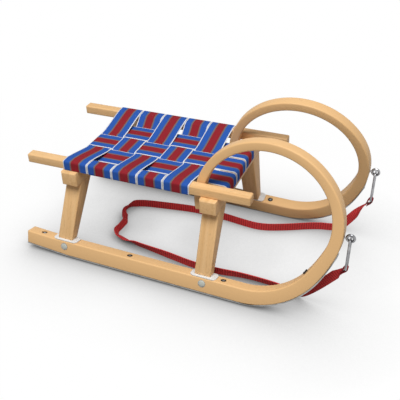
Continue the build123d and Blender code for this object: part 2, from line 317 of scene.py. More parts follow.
class GeometryTree(NodeGraph):
    """A Geometry Nodes tree with named inputs that ends in Realize Instances and Set Material."""

    def __init__(self, name: str) -> None:
        """Start a tree.

        Args:
            name: The tree's name.
        """
        super().__init__(bpy.data.node_groups.new(name, "GeometryNodeTree"))
        self.entry = self.node("NodeGroupInput")
        self.identifiers: dict[str, str] = {}
        self.tree.interface.new_socket(name="Geometry", in_out="OUTPUT", socket_type="NodeSocketGeometry")
        self.take("NodeSocketGeometry", "Geometry")

    def take(self, socket_type: str, *names: str) -> None:
        """Add named inputs.

        Args:
            socket_type: Blender's name of their socket type.
            *names: The inputs' names.
        """
        for name in names:
            socket = self.tree.interface.new_socket(name=name, in_out="INPUT", socket_type=socket_type)
            self.identifiers[name] = socket.identifier

    def given(self, name: str) -> Socket:
        """Return the socket of a named input."""
        return self.entry.outputs[name]

    def smooth(self, geometry: Socket) -> Socket:
        """Return a geometry that is shaded smooth."""
        return self.node("GeometryNodeSetShadeSmooth", {"Geometry": geometry}).outputs["Geometry"]

    def end(self, geometry: Socket, material: bpy.types.Material) -> None:
        """Close the tree.

        Args:
            geometry: The geometry to hand out.
            material: The material that it gets.
        """
        realize = self.node("GeometryNodeRealizeInstances", {"Geometry": geometry})
        inputs = {"Geometry": realize.outputs["Geometry"], "Material": material}
        dressed = self.node("GeometryNodeSetMaterial", inputs)
        self.node("NodeGroupOutput", {"Geometry": dressed.outputs["Geometry"]})

    def make(
        self, name: str, base: bpy.types.Mesh, values: Mapping[str, float | Vector]
    ) -> bpy.types.Object:
        """Run the tree on a mesh and keep the result as a plain mesh.

        Args:
            name: The new object's name.
            base: The mesh that goes in.
            values: The inputs' values by name.

        Returns:
            The object, with no modifier left.
        """
        thing = link_object(name, base)
        modifier = thing.modifiers.new(self.tree.name, "NODES")
        modifier.node_group = self.tree
        for key, value in values.items():
            modifier[self.identifiers[key]] = value
        settle(thing)
        return thing


def link_object(name: str, data: bpy.types.ID) -> bpy.types.Object:
    """Make an object of some data and link it to the scene.

    Args:
        name: The object's name.
        data: Its mesh, curve, camera or light.

    Returns:
        The new object, at the origin.
    """
    thing = bpy.data.objects.new(name, data)
    bpy.context.scene.collection.objects.link(thing)
    return thing


def dress(thing: bpy.types.Object, material: bpy.types.Material) -> None:
    """Give a piece its only material.

    Args:
        thing: The piece.
        material: Its material.
    """
    thing.data.materials.clear()
    thing.data.materials.append(material)


def settle(thing: bpy.types.Object) -> None:
    """Turn what an object's modifiers make into its own plain mesh, and remove them.

    Args:
        thing: The object.
    """
    graph = bpy.context.evaluated_depsgraph_get()
    made = bpy.data.meshes.new_from_object(
        thing.evaluated_get(graph), preserve_all_data_layers=True, depsgraph=graph
    )
    before = thing.data
    thing.modifiers.clear()
    thing.data = made
    bpy.data.meshes.remove(before)
    made.name = thing.name


def adopt(thing: bpy.types.Object, *nodes: str) -> None:
    """Let a finished piece ride on the sled and stand for CAD nodes.

    Args:
        thing: The piece.
        *nodes: The CAD nodes that it replaces.
    """
    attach(thing, ROOT)
    if nodes:
        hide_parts(*nodes)
    stands_for = f", for {', '.join(nodes)}" if nodes else ""
    LOG.info("%s: %d faces%s", thing.name, len(thing.data.polygons), stands_for)


def middle_of(node: str) -> Vector:
    """Return the middle of a CAD node's box."""
    low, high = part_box(node)
    return (low + high) / 2


def smooth_by_angle(mesh: bpy.types.Mesh, degrees: float = 35.0) -> None:
    """Shade a mesh smooth, with sharp edges above an angle.

    Args:
        mesh: The mesh.
        degrees: The angle between two faces from which their edge stays sharp.
    """
    for polygon in mesh.polygons:
        polygon.use_smooth = True
    mesh.set_sharp_from_angle(angle=math.radians(degrees))


def nurbs_points(points: Sequence[Vector], resolution: int) -> list[Vector]:
    """Read the points of a smooth spline through a route's control points.

    Args:
        points: The control points.
        resolution: Points for each span of the spline.

    Returns:
        The spline's own points, from end to end.
    """
    curve = bpy.data.curves.new("route", "CURVE")
    curve.dimensions = "3D"
    spline = curve.splines.new("NURBS")
    spline.points.add(len(points) - 1)
    for target, point in zip(spline.points, points):
        target.co = (*point, 1.0)
    spline.order_u = 3
    spline.use_endpoint_u = True
    spline.resolution_u = resolution
    thing = link_object("route", curve)
    graph = bpy.context.evaluated_depsgraph_get()
    mesh = bpy.data.meshes.new_from_object(thing.evaluated_get(graph))
    found = [vertex.co.copy() for vertex in mesh.vertices]
    bpy.data.objects.remove(thing)
    bpy.data.curves.remove(curve)
    bpy.data.meshes.remove(mesh)
    return found


def tangents(points: Sequence[Vector]) -> list[Vector]:
    """Return the unit direction of a line at each of its points."""
    last = len(points) - 1
    return [(points[min(i + 1, last)] - points[max(i - 1, 0)]).normalized() for i in range(len(points))]


def lengths(points: Sequence[Vector]) -> list[float]:
    """Measure a line.

    Args:
        points: The line's points.

    Returns:
        Its length up to each of them.
    """
    found = [0.0]
    for before, after in zip(points, points[1:]):
        found.append(found[-1] + (after - before).length)
    return found


def ease(share: float) -> float:
    """Return a share from 0 to 1 with a soft start and a soft end."""
    return share * share * (3 - 2 * share)


def circle(centre: Vector, first: Vector, second: Vector, radius: float, sides: int) -> list[Vector]:
    """Return the points of a circle.

    Args:
        centre: Its middle.
        first: Direction of its first point.
        second: Direction of the point a quarter further round.
        radius: Its radius.
        sides: How many points it has.

    Returns:
        The points, in order.
    """
    angles = [math.tau * i / sides for i in range(sides)]
    return [centre + (first * math.cos(angle) + second * math.sin(angle)) * radius for angle in angles]


def join_loops(shape: bmesh.types.BMesh, loops: Sequence[Sequence[bmesh.types.BMVert]]) -> None:
    """Fill the strips between loops of vertices.

    Args:
        shape: The mesh that they belong to.
        loops: The loops, in order, all with as many vertices.
    """
    for before, after in zip(loops, loops[1:]):
        for i, vertex in enumerate(before):
            k = (i + 1) % len(before)
            shape.faces.new((vertex, before[k], after[k], after[i]))


@dataclass
class Ring:
    """One section of a swept piece.

    Attributes:
        points: The section's outline, in order.
        marks: For each point, what its pattern reads: grain coordinates, or a UV pair.
    """

    points: list[Vector]
    marks: list[tuple[float, ...]]


def skin(name: str, rings: Sequence[Ring], flip: bool = False) -> bpy.types.Mesh:
    """Join sections to a closed mesh that carries their marks.

    Args:
        name: The mesh's name.
        rings: The sections, all with as many points; marks of two numbers become a UV map, and
            marks of three the grain attribute.
        flip: True where the sections run the other way round.

    Returns:
        The mesh, with its faces outwards.
    """
    count = len(rings[0].points)
    faces = []
    for i in range(len(rings) - 1):
        for j in range(count):
            k = (j + 1) % count
            faces.append((i * count + j, i * count + k, (i + 1) * count + k, (i + 1) * count + j))
    faces.append(tuple(reversed(range(count))))
    faces.append(tuple(range((len(rings) - 1) * count, len(rings) * count)))
    if flip:
        faces = [tuple(reversed(face)) for face in faces]
    mesh = bpy.data.meshes.new(name)
    mesh.from_pydata([point for ring in rings for point in ring.points], [], faces)
    marks = [mark for ring in rings for mark in ring.marks]
    if len(marks[0]) == 2:
        layer = mesh.uv_layers.new(name=BAND_UV)
        for loop in mesh.loops:
            layer.data[loop.index].uv = marks[loop.vertex_index]
    else:
        set_grain(mesh, marks)
    mesh.update()
    return mesh


def webbing_skin(name: str, rings: Sequence[Ring]) -> bpy.types.Mesh:
    """Join sections of webbing to a smooth mesh.

    Args:
        name: The mesh's name.
        rings: The sections.

    Returns:
        The mesh, with its faces outwards.
    """
    mesh = skin(name, rings)
    shape = bmesh.new()
    shape.from_mesh(mesh)
    bmesh.ops.recalc_face_normals(shape, faces=shape.faces)
    shape.to_mesh(mesh)
    shape.free()
    smooth_by_angle(mesh, WEBBING_CREASE)
    return mesh


def set_grain(mesh: bpy.types.Mesh, marks: Sequence[Sequence[float]]) -> None:
    """Write the grain attribute of a wooden piece.

    Args:
        mesh: The piece's mesh.
        marks: For each vertex its place along the grain and across it, in metres.
    """
    layer = mesh.attributes.get(GRAIN) or mesh.attributes.new(GRAIN, "FLOAT_VECTOR", "POINT")
    layer.data.foreach_set("vector", [value for mark in marks for value in mark])


def rounded_outline(half_a: float, half_b: float, radius: float, steps: int) -> list[tuple[float, float]]:
    """Return the outline of a rectangle with round corners.

    Args:
        half_a: Half the size along the first axis.
        half_b: Half the size along the second axis.
        radius: The corners' radius.
        steps: Straight pieces in each corner.

    Returns:
        The outline's points, counter-clockwise.
    """
    outline = []
    for quarter, (a, b) in enumerate(((1, 1), (-1, 1), (-1, -1), (1, -1))):
        middle_a, middle_b = a * (half_a - radius), b * (half_b - radius)
        for step in range(steps + 1):
            angle = math.radians(90 * (quarter + step / steps))
            outline.append((middle_a + radius * math.cos(angle), middle_b + radius * math.sin(angle)))
    return outline


def softened_copy(node: str, name: str, radius: float, steps: int = 3) -> bpy.types.Object:
    """Copy a CAD node with its sharp edges rounded.

    Args:
        node: The CAD node.
        name: The copy's name.
        radius: The edges' radius.
        steps: Straight pieces in each rounded edge.

    Returns:
        The copy.
    """
    shape = bmesh.new()
    shape.from_mesh(bpy.data.objects[node].data)
    bmesh.ops.remove_doubles(shape, verts=shape.verts, dist=SAME_PLACE)
    bmesh.ops.dissolve_limit(shape, angle_limit=FLAT_ANGLE, verts=shape.verts, edges=shape.edges)
    sharp = [edge for edge in shape.edges if edge.is_manifold and edge.calc_face_angle() > SHARP_ANGLE]
    bmesh.ops.bevel(
        shape, geom=sharp, offset=radius, segments=steps, profile=0.5, affect="EDGES", clamp_overlap=True
    )
    mesh = bpy.data.meshes.new(name)
    shape.to_mesh(mesh)
    shape.free()
    smooth_by_angle(mesh)
    return link_object(name, mesh)


@dataclass(frozen=True)
class BeechFinish:
    """Lacquered beech: honey tone, faint streaks along the grain and short ray flecks.

    Attributes:
        name: The material's name.
        pale, honey: Colours of the light streaks and of the deep ones.
        streak_length, streak_width: Size of the streaks.
        streak_stops: Noise at which a streak is all honey, and all pale.
        fleck_length, fleck_width: Size of the flecks.
        fleck_stops: Noise at which a fleck is full, and gone.
        fleck_shade: Share of the colour that a fleck keeps.
        roughness: Lowest and highest roughness.
        relief: Strength and depth of the flecks' relief.
    """

    name: str = "lacquered_beech"
    pale: Colour = (0.86, 0.545, 0.262)
    honey: Colour = (0.76, 0.452, 0.194)
    streak_length: float = 0.22
    streak_width: float = 0.007
    streak_stops: tuple[float, float] = (0.3, 0.62)
    fleck_length: float = 0.008
    fleck_width: float = 0.0011
    fleck_stops: tuple[float, float] = (0.3, 0.42)
    fleck_shade: float = 0.8
    roughness: tuple[float, float] = (0.44, 0.56)
    relief: tuple[float, float] = (0.05, 0.0004)

    def build(self) -> bpy.types.Material:
        """Write the material.

        Returns:
            The material.
        """
        graph = MaterialGraph(self.name)
        grain = graph.node("ShaderNodeAttribute", attribute_name=GRAIN).outputs["Vector"]
        streaks = graph.streaks(grain, self.streak_length, self.streak_width, detail=4.0)
        flecks = graph.streaks(grain, self.fleck_length, self.fleck_width, detail=2.0)
        tone = graph.fade(streaks, self.streak_stops, self.honey, self.pale)
        plain = graph.fade(flecks, self.fleck_stops, BLACK, WHITE)
        return graph.surface(
            Base_Color=graph.shade(tone, plain, self.fleck_shade),
            Roughness=graph.spread(streaks, *self.roughness),
            Specular_IOR_Level=0.24,
            Coat_Weight=0.03,
            Coat_Roughness=0.2,
            Normal=graph.bump(flecks, *self.relief),
        )


@dataclass(frozen=True)
class WebbingFinish:
    """Striped seat webbing with a plain weave.

    Attributes:
        name: The material's name.
        width: Width of a band.
        white, blue, grey, red: Colours of the stripes, from a band's edge to its middle.
        edges: Place across the band, as a share, where each stripe after the first starts.
        rib: Distance of the ribs, along the band.
        thread: Distance of the threads, across it.
        weave_shade: Share of the colour that is left between the threads: painted shade in the weave's
            hollows.
        wear: Scale of the worn patches, across the band and along it.
        wear_shade: Share of the colour that is left where it is worn.
        relief: Strength and depth of the weave's relief.
    """

    name: str = "striped_webbing"
    width: float = 0.058
    white: Colour = (0.86, 0.87, 0.9)
    blue: Colour = (0.03, 0.12, 0.5)
    grey: Colour = (0.2, 0.17, 0.16)
    red: Colour = (0.33, 0.02, 0.03)
    edges: tuple[float, ...] = (0.04, 0.285, 0.34, 0.66, 0.715, 0.96)
    rib: float = 0.0016
    thread: float = 0.0012
    weave_shade: float = 0.82
    wear: tuple[float, float, float] = (18.0, 260.0, 1.0)
    wear_shade: float = 0.86
    relief: tuple[float, float] = (0.5, 0.0005)

    def build(self) -> bpy.types.Material:
        """Write the material.

        Returns:
            The material.
        """
        graph = MaterialGraph(self.name)
        place, across, along = graph.band_place()
        colours = (self.white, self.blue, self.grey, self.red, self.grey, self.blue, self.white)
        stripes = graph.ramp(across, tuple(zip((0.0, *self.edges), colours)), constant=True)
        ribs = graph.wave(along, self.rib)
        threads = graph.wave(across, self.thread / self.width)
        weave = graph.math("MULTIPLY_ADD", graph.math("MULTIPLY", ribs, threads), 0.5, 0.5)
        # Darker between the threads: painted shade in the weave's hollows.
        woven = graph.shade(stripes, weave, self.weave_shade)
        worn = graph.noise(graph.stretch(place, self.wear))
        return graph.surface(
            Base_Color=graph.shade(woven, worn, self.wear_shade),
            Roughness=0.85,
            Specular_IOR_Level=0.15,
            Normal=graph.bump(weave, *self.relief),
        )


@dataclass(frozen=True)
class StrapFinish:
    """Ribbed tow webbing in one colour.

    Attributes:
        name: The material's name.
        colour: Colour of the yarn. The strap's own default is brighter than the real yarn, as painted light
            that lifts it out of the seat's shadow.
        width: Width of the strap.
        rib: Distance of the ribs, along the strap.
        cord: Distance of the yarns, across it.
        cord_share: Height of the yarns, as a share of the ribs'.
        gain: Factor that brings ribs and yarns together to heights from about 0 to 1.
        rib_shade: Share of the colour that is left between the ribs: painted shade in their hollows.
        wear: Scale of the worn patches, across the strap and along it.
        wear_stops: Noise at which the yarn is all worn, and not worn.
        wear_shade: Share of the colour that is left where it is worn.
        relief: Strength and depth of the ribs' relief.
    """

    name: str = "ribbed_strap"
    # Brighter than the yarn's own red: painted light that lifts the strap out of the seat's shadow.
    colour: Colour = (0.80, 0.060, 0.062)
    width: float = 0.020
    rib: float = 0.0058
    cord: float = 0.0021
    cord_share: float = 0.4
    gain: float = 0.36
    rib_shade: float = 0.45
    wear: tuple[float, float, float] = (6.0, 140.0, 1.0)
    wear_stops: tuple[float, float] = (0.2, 0.8)
    wear_shade: float = 0.84
    relief: tuple[float, float] = (0.6, 0.0008)

    def build(self) -> bpy.types.Material:
        """Write the material.

        Returns:
            The material.
        """
        graph = MaterialGraph(self.name)
        place, across, along = graph.band_place()
        ribs = graph.wave(along, self.rib)
        cords = graph.math("MULTIPLY", graph.wave(across, self.cord / self.width), self.cord_share)
        height = graph.math("MULTIPLY_ADD", graph.math("ADD", ribs, cords), self.gain, 0.5)
        worn = graph.noise(graph.stretch(place, self.wear))
        dull = tuple(self.wear_shade * part for part in self.colour)
        yarn = graph.fade(worn, self.wear_stops, dull, self.colour)
        return graph.surface(
            # Darker where the ribs are low: painted shade in their hollows.
            Base_Color=graph.shade(yarn, height, self.rib_shade),
            Roughness=0.75,
            Specular_IOR_Level=0.2,
            Normal=graph.bump(height, *self.relief),
        )


@dataclass(frozen=True)
class MetalFinish:
    """Bare or plated metal with fine drawing marks.

    Attributes:
        name: The material's name.
        colour: Colour of the metal.
        worn: Colour where it is rubbed or dull.
        roughness: Lowest and highest roughness.
        mark: Scale of the marks along X, Y and Z.
        patch: Scale of the dull patches.
        patch_stops: Noise at which the metal is all dull, and not dull.
        relief: Strength and depth of the marks' relief.
    """

    name: str
    colour: Colour
    worn: Colour
    roughness: tuple[float, float]
    mark: tuple[float, float, float] = (40.0, 900.0, 900.0)
    patch: float = 70.0
    patch_stops: tuple[float, float] = (0.35, 0.6)
    relief: tuple[float, float] = (0.08, 0.0002)

    def build(self) -> bpy.types.Material:
        """Write the material.

        Returns:
            The material.
        """
        graph = MaterialGraph(self.name)
        place = graph.object_place()
        marks = graph.noise(graph.stretch(place, self.mark))
        patches = graph.noise(place, self.patch, detail=4.0)
        return graph.surface(
            Base_Color=graph.fade(patches, self.patch_stops, self.worn, self.colour),
            Metallic=1.0,
            Roughness=graph.spread(marks, *self.roughness),
            Normal=graph.bump(marks, *self.relief),
        )


@dataclass(frozen=True)
class PlasticFinish:
    """Moulded plastic with a fine spark texture.

    Attributes:
        name: The material's name.
        colour: Colour of the plastic.
        shade: Colour of its dull patches.
        roughness: Lowest and highest roughness.
        patch: Scale of the dull patches.
        patch_stops: Noise at which the plastic is all dull, and not dull.
        spark: Scale of the spark texture.
        relief: Strength and depth of its relief.
    """

    name: str
    colour: Colour
    shade: Colour
    roughness: tuple[float, float] = (0.4, 0.52)
    patch: float = 90.0
    patch_stops: tuple[float, float] = (0.3, 0.65)
    spark: float = 2600.0
    relief: tuple[float, float] = (0.12, 0.0002)

    def build(self) -> bpy.types.Material:
        """Write the material.

        Returns:
            The material.
        """
        graph = MaterialGraph(self.name)
        place = graph.object_place()
        patches = graph.noise(place, self.patch, detail=4.0)
        spark = graph.noise(place, self.spark, detail=2.0)
        return graph.surface(
            Base_Color=graph.fade(patches, self.patch_stops, self.shade, self.colour),
            Roughness=graph.spread(spark, *self.roughness),
            Normal=graph.bump(spark, *self.relief),
        )


@dataclass(frozen=True)
class FloorFinish:
    """White studio floor that keeps the object's shadow, darkens its plain white by ambient occlusion near
    the sled as a painted shadow, and fades to plain white.

    Attributes:
        name: The material's name.
        seen: Brightness of the floor where it is seen.
        bounce: Brightness of the floor for the light that it throws back on the sled.
        near: Share of plain white close to the sled.
        white: Strength of the plain white.
        shadow_reach, shadow_depth: Reach and strength of the painted shadow in the plain white: how far the
            sled hides the even sky from it, and how strongly.
        shadow_samples: Rays that look for the sky at each point.
        inner: Distance from the sled's middle at which the fade starts.
        outer: Distance at which the floor is plain white.
    """

    name: str = "studio_floor"
    seen: float = 0.95
    bounce: float = 0.3
    near: float = 0.94
    white: float = 1.0
    shadow_reach: float = 0.23
    shadow_depth: float = 1.3
    shadow_samples: int = 16
    inner: float = 0.25
    outer: float = 1.0

    def build(self) -> bpy.types.Material:
        """Write the material.

        Returns:
            The material.
        """
        graph = MaterialGraph(self.name)
        away = graph.node("ShaderNodeVectorMath", {0: graph.object_place()}, operation="LENGTH")
        limits = {"From Min": self.inner, "From Max": self.outer, "To Min": self.near, "To Max": 1.0}
        fade = graph.node(
            "ShaderNodeMapRange", {"Value": away.outputs["Value"], **limits}, interpolation_type="SMOOTHSTEP"
        )
        direct = graph.seen_directly()
        matt = graph.node("ShaderNodeBsdfDiffuse", {"Color": graph.spread(direct, self.bounce, self.seen)})
        # The plain white is darkened by ambient occlusion near the sled: a painted shadow.
        hidden = graph.node(
            "ShaderNodeAmbientOcclusion", {"Distance": self.shadow_reach}, samples=self.shadow_samples
        )
        painted_shadow_level = graph.math("POWER", hidden.outputs["AO"], self.shadow_depth)
        plain = graph.node("ShaderNodeEmission", {"Strength": graph.spread(painted_shadow_level, 0.0, self.white)})
        share = graph.math("MULTIPLY", fade.outputs["Result"], direct)
        return graph.finish(graph.blend(share, matt.outputs["BSDF"], plain.outputs["Emission"]))


@dataclass(frozen=True)
class Finishes:
    """The finished materials of the sled.

    Attributes:
        beech: All the wood.
        running_steel: The strips below the runners, and the pins' rims, which also paint the shade at the
            domes' foot.
        bright_steel: The eyes, the links and the bolts' ends, in steel darker than its own as a painted
            reflection of a darker studio.
        nut_steel: The strips' nuts, in steel darkened to near black as painted shade of their recesses.
        pin: The pins' domes.
        foot: The foot plates.
        webbing: The seat bands.
        strap: The tow strap, brighter than its own red as painted light.
        sewn: The strap's sewn loops, in a darker copy of the strap's finish as painted shade at the links.
    """

    beech: bpy.types.Material
    running_steel: bpy.types.Material
    bright_steel: bpy.types.Material
    nut_steel: bpy.types.Material
    pin: bpy.types.Material
    foot: bpy.types.Material
    webbing: bpy.types.Material
    strap: bpy.types.Material
    sewn: bpy.types.Material

    @classmethod
    def build(cls) -> Finishes:
        """Write every material.

        Returns:
            The sled's finishes.
        """
        return cls(
            beech=BeechFinish().build(),
            running_steel=MetalFinish(
                "running_steel", colour=(0.42, 0.42, 0.41), worn=(0.3, 0.3, 0.29), roughness=(0.38, 0.55)
            ).build(),
            # Both colours are darker than bare steel's, as a painted reflection of a darker studio.
            bright_steel=MetalFinish(
                "bright_steel", colour=(0.4, 0.4, 0.41), worn=(0.2, 0.2, 0.21), roughness=(0.16, 0.3)
            ).build(),
            # The nuts' steel, darkened to near black: painted shade of their recesses.
            nut_steel=MetalFinish(
                "nut_steel", colour=(0.05, 0.048, 0.046), worn=(0.03, 0.03, 0.03), roughness=(0.35, 0.55)
            ).build(),
            pin=PlasticFinish("pin_cap", colour=(0.56, 0.58, 0.52), shade=(0.48, 0.5, 0.45)).build(),
            foot=PlasticFinish(
                "white_foot_plate", colour=(0.82, 0.81, 0.79), shade=(0.74, 0.73, 0.71)
            ).build(),
            webbing=WebbingFinish().build(),
            strap=StrapFinish().build(),
            # The loops get the strap's finish in a darker colour: painted shade where they hang in the links.
            sewn=StrapFinish("sewn_strap", colour=(0.4, 0.026, 0.034)).build(),
        )


@dataclass(frozen=True)
class SeatPlane:
    """Plane on which the rails rest, a little higher at the front.

    Attributes:
        x: Place of the plane's own origin along the sled.
        z: Its height there.
        pitch: Its slope, in degrees.
    """

    x: float = -0.09425
    z: float = 0.2174
    pitch: float = 1.6

    @property
    def along(self) -> Vector:
        """Return the direction of the rails."""
        return Vector((math.cos(math.radians(self.pitch)), 0, math.sin(math.radians(self.pitch))))

    @property
    def up(self) -> Vector:
        """Return the direction away from the plane."""
        return Vector((-math.sin(math.radians(self.pitch)), 0, math.cos(math.radians(self.pitch))))

    def point(self, along: float, across: float, up: float) -> Vector:
        """Return a point given in the plane's own axes."""
        return Vector((self.x, across, self.z)) + self.along * along + self.up * up


@dataclass(frozen=True)
class Section:
    """One section across a runner.

    Attributes:
        centre: Its middle.
        away: Direction of its thickness, away from the bend's middle.
        aside: Direction of its width, to the right.
        thickness, width: Its sizes.
        length: Its place along the grain.
    """

    centre: Vector
    away: Vector
    aside: Vector
    thickness: float
    width: float
    length: float


@dataclass
class Runner:
    """The bent runners: straight on the floor, then five tangent arcs up and back into the horn.

    Attributes:
        lean: Inward lean of the runner's plane, in degrees.
        track: Distance of the runner's foot from the sled's middle.
        width, height: Section of the straight stretch.
        rear: Place of the rear end.
        heel_length, heel_rise: The raised underside at the rear.
        heel_lift, lift_length: The raised top at the rear.
        bend: Place where the first arc starts.
        arcs: Radius of each arc's middle, and its turn in degrees.
        horn_width, horn_thickness: Section at the end of the taper.
        tip_width: Width at the horn's tip.
        twist: Turn of the section at the horn's top, in degrees.
        taper: Length of the taper, from the bend.
        curl_start: Turn from which the horn curls inwards, in degrees.
        tip_inset: Inward shift of the tip.
        strip_width, strip_thickness: Section of the steel strip below.
        edge, heel_edge: Radius of the wood's edges, and of those of the rear end.
        nut_places: Places of the strip's nuts on the straight stretch.
        nut_turn: Turn of the bend at the last nut, in degrees.
        recess_radius, recess_depth: Size of the nuts' recesses.
        edge_steps: Straight pieces in each rounded edge.
        heel_stops, floor_stops: Sections of the heel and of the stretch after it, as shares of their lengths.
        turn_step: Turn from one section of the bend to the next, in degrees.
        least_edge: Radius that the edges keep where an end is rounded.
        recess_sides: Sides of the nuts' recesses.
    """

    lean: float = 12.5
    track: float = 0.1737
    width: float = 0.030
    height: float = 0.035
    rear: float = -0.3713
    heel_length: float = 0.110
    heel_rise: float = 0.007
    heel_lift: float = 0.003
    lift_length: float = 0.066
    bend: float = 0.156
    arcs: tuple[tuple[float, float], ...] = (
        (0.167, 58.0), (0.310, 13.0), (0.139, 47.5), (0.1515, 108.0), (0.1455, 56.5),
    )
    horn_width: float = 0.029
    tip_width: float = 0.025
    horn_thickness: float = 0.0196
    taper: float = 0.402
    curl_start: float = 135.0
    tip_inset: float = 0.0292
    twist: float = 7.5
    strip_width: float = 0.026
    strip_thickness: float = 0.0025
    edge: float = 0.0032
    heel_edge: float = 0.0048
    least_edge: float = 0.0004
    edge_steps: int = 4
    heel_stops: tuple[float, ...] = (0.2, 0.4, 0.5, 0.6, 0.7, 0.85, 1.0)
    floor_stops: tuple[float, ...] = (0.2, 0.4, 0.6, 0.8)
    turn_step: float = 3.0
    nut_places: tuple[float, ...] = (-0.333, -0.110, 0.114)
    nut_turn: float = 57.5
    recess_radius: float = 0.0066
    recess_depth: float = 0.0028
    recess_sides: int = 24

    @property
    def up(self) -> Vector:
        """Return the runner plane's own upward direction, on the right."""
        return Vector((0, math.sin(math.radians(self.lean)), math.cos(math.radians(self.lean))))

    @property
    def outwards(self) -> Vector:
        """Return the direction across the runner, to the right."""
        return Vector((0, -math.cos(math.radians(self.lean)), math.sin(math.radians(self.lean))))

    @property
    def turn(self) -> float:
        """Return the whole turn of the arcs, in degrees."""
        return sum(angle for radius, angle in self.arcs)

    def point(self, x: float, rise: float, out: float = 0.0) -> Vector:
        """Return a point of the right runner's plane.

        Args:
            x: Place along the sled.
            rise: Distance above the wood's underside, along the lean.
            out: Distance from the runner's middle.

        Returns:
            The point.
        """
        lean = math.radians(self.lean)
        base = self.strip_thickness * math.cos(lean) + self.strip_width / 2 * math.sin(lean)
        return Vector((x, -self.track, base)) + self.up * rise + self.outwards * out

    def straight_at(self, x: float) -> Section:
        """Find the section of the straight stretch at a place.

        Args:
            x: Place along the sled.

        Returns:
            The section there.
        """
        low = self.heel_rise * max(0.0, 1 - (x - self.rear) / self.heel_length)
        high = self.height + self.heel_lift * max(0.0, 1 - (x - self.rear) / self.lift_length)
        return Section(
            centre=self.point(x, (low + high) / 2), away=-self.up, aside=self.outwards,
            thickness=high - low, width=self.width, length=x - self.bend,
        )

    def bend_at(self, turn: float) -> Section:
        """Follow the arcs up to a turn.

        Args:
            turn: The turn in degrees.

        Returns:
            The section there.
        """
        x, rise, heading, length = self.bend, self.height / 2, 0.0, 0.0
        for radius, angle in self.arcs:
            step = math.radians(min(angle, turn - math.degrees(heading)))
            x += radius * (math.sin(heading + step) - math.sin(heading))
            rise += radius * (math.cos(heading) - math.cos(heading + step))
            length += radius * step
            heading += step
        curl = max(0.0, turn - self.curl_start) / (self.turn - self.curl_start)
        taper = min(1.0, length / self.taper)
        twist = math.radians(self.twist) * max(0.0, -math.cos(heading))
        away = X_AXIS * math.sin(heading) - self.up * math.cos(heading)
        width = self.width + (self.horn_width - self.width) * taper
        return Section(
            centre=self.point(x, rise) + Y_AXIS * (self.tip_inset * curl**2),
            away=away * math.cos(twist) + self.outwards * math.sin(twist),
            aside=self.outwards * math.cos(twist) - away * math.sin(twist),
            thickness=self.height + (self.horn_thickness - self.height) * taper,
            width=width + (self.tip_width - self.horn_width) * curl,
            length=length,
        )

    def ring(self, section: Section, inset: float = 0.0) -> Ring:
        """Return the wood's outline in one section.

        Args:
            section: The section.
            inset: How far the outline is drawn in, at an end.

        Returns:
            The outline with its grain marks.
        """
        half_thickness, half_width = section.thickness / 2 - inset, section.width / 2 - inset
        radius = max(self.edge - inset, self.least_edge)
        outline = rounded_outline(half_thickness, half_width, radius, self.edge_steps)
        points = [section.centre + section.away * a + section.aside * b for a, b in outline]
        return Ring(points, [(section.length, a, b) for a, b in outline])

    def end_steps(self, radius: float) -> list[tuple[float, float]]:
        """Return how far each ring of an end rounded by a radius lies behind it, and its inset."""
        angles = [math.radians(90 * step / self.edge_steps) for step in range(self.edge_steps + 1)]
        return [(radius * (1 - math.cos(a)), radius * (1 - math.sin(a))) for a in angles]

    def rings(self) -> list[Ring]:
        """Draw the right runner's sections.

        Returns:
            The sections from the heel to the tip.
        """
        heel_end = self.rear + self.heel_length
        straight = [(self.rear + back, inset) for back, inset in self.end_steps(self.heel_edge)]
        straight += [(self.rear + self.heel_length * share, 0.0) for share in self.heel_stops]
        straight += [(heel_end + (self.bend - heel_end) * share, 0.0) for share in self.floor_stops]
        steps = round(self.turn / self.turn_step)
        bent = [(self.turn * i / steps, 0.0) for i in range(steps)]
        tip_radius = self.arcs[-1][0]
        for back, inset in reversed(self.end_steps(self.edge)):
            bent.append((self.turn - math.degrees(back / tip_radius), inset))
        found = [self.ring(self.straight_at(x), inset) for x, inset in straight]
        found += [self.ring(self.bend_at(turn), inset) for turn, inset in bent]
        return found

    def nuts(self) -> list[Spot]:
        """Return the place and facing of each sunk nut on the right runner."""
        return [(self.point(x, self.height), self.up) for x in self.nut_places]

    def bend_nut(self) -> Spot:
        """Return the place and facing of the right runner's nut on the bend."""
        section = self.bend_at(self.nut_turn)
        return section.centre - section.away * (section.thickness / 2), -section.away

    def recess_cutter(self, side: Side) -> bpy.types.Object:
        """Make the plugs that sink the nuts' recesses into one runner.

        Args:
            side: The runner's side.

        Returns:
            An object that only cuts.
        """
        shape = bmesh.new()
        for place, facing in self.nuts():
            turn = side.place(facing).to_track_quat("Z", "Y").to_matrix().to_4x4()
            bmesh.ops.create_cone(
                shape, cap_ends=True, segments=self.recess_sides, radius1=self.recess_radius,
                radius2=self.recess_radius, depth=2 * self.recess_depth,
                matrix=Matrix.Translation(side.place(place)) @ turn,
            )
        mesh = bpy.data.meshes.new("recesses")
        shape.to_mesh(mesh)
        shape.free()
        return link_object("recesses", mesh)

    def build(self, finishes: Finishes) -> None:
        """Make both runners with their nut recesses.

        Args:
            finishes: The sled's materials.
        """
        for side in Side:
            rings = [Ring([side.place(p) for p in ring.points], ring.marks) for ring in self.rings()]
            name = f"bent_runner_{side.word}"
            thing = link_object(name, skin(name, rings, flip=side is Side.LEFT))
            cutter = self.recess_cutter(side)
            modifier = thing.modifiers.new("recesses", "BOOLEAN")
            modifier.operation, modifier.solver, modifier.object = "DIFFERENCE", "EXACT", cutter
            settle(thing)
            bpy.data.objects.remove(cutter)
            smooth_by_angle(thing.data)
            dress(thing, finishes.beech)
            adopt(thing, f"runner_{side.word}")
            dress(bpy.data.objects[f"runner_shoe_{side.word}"], finishes.running_steel)


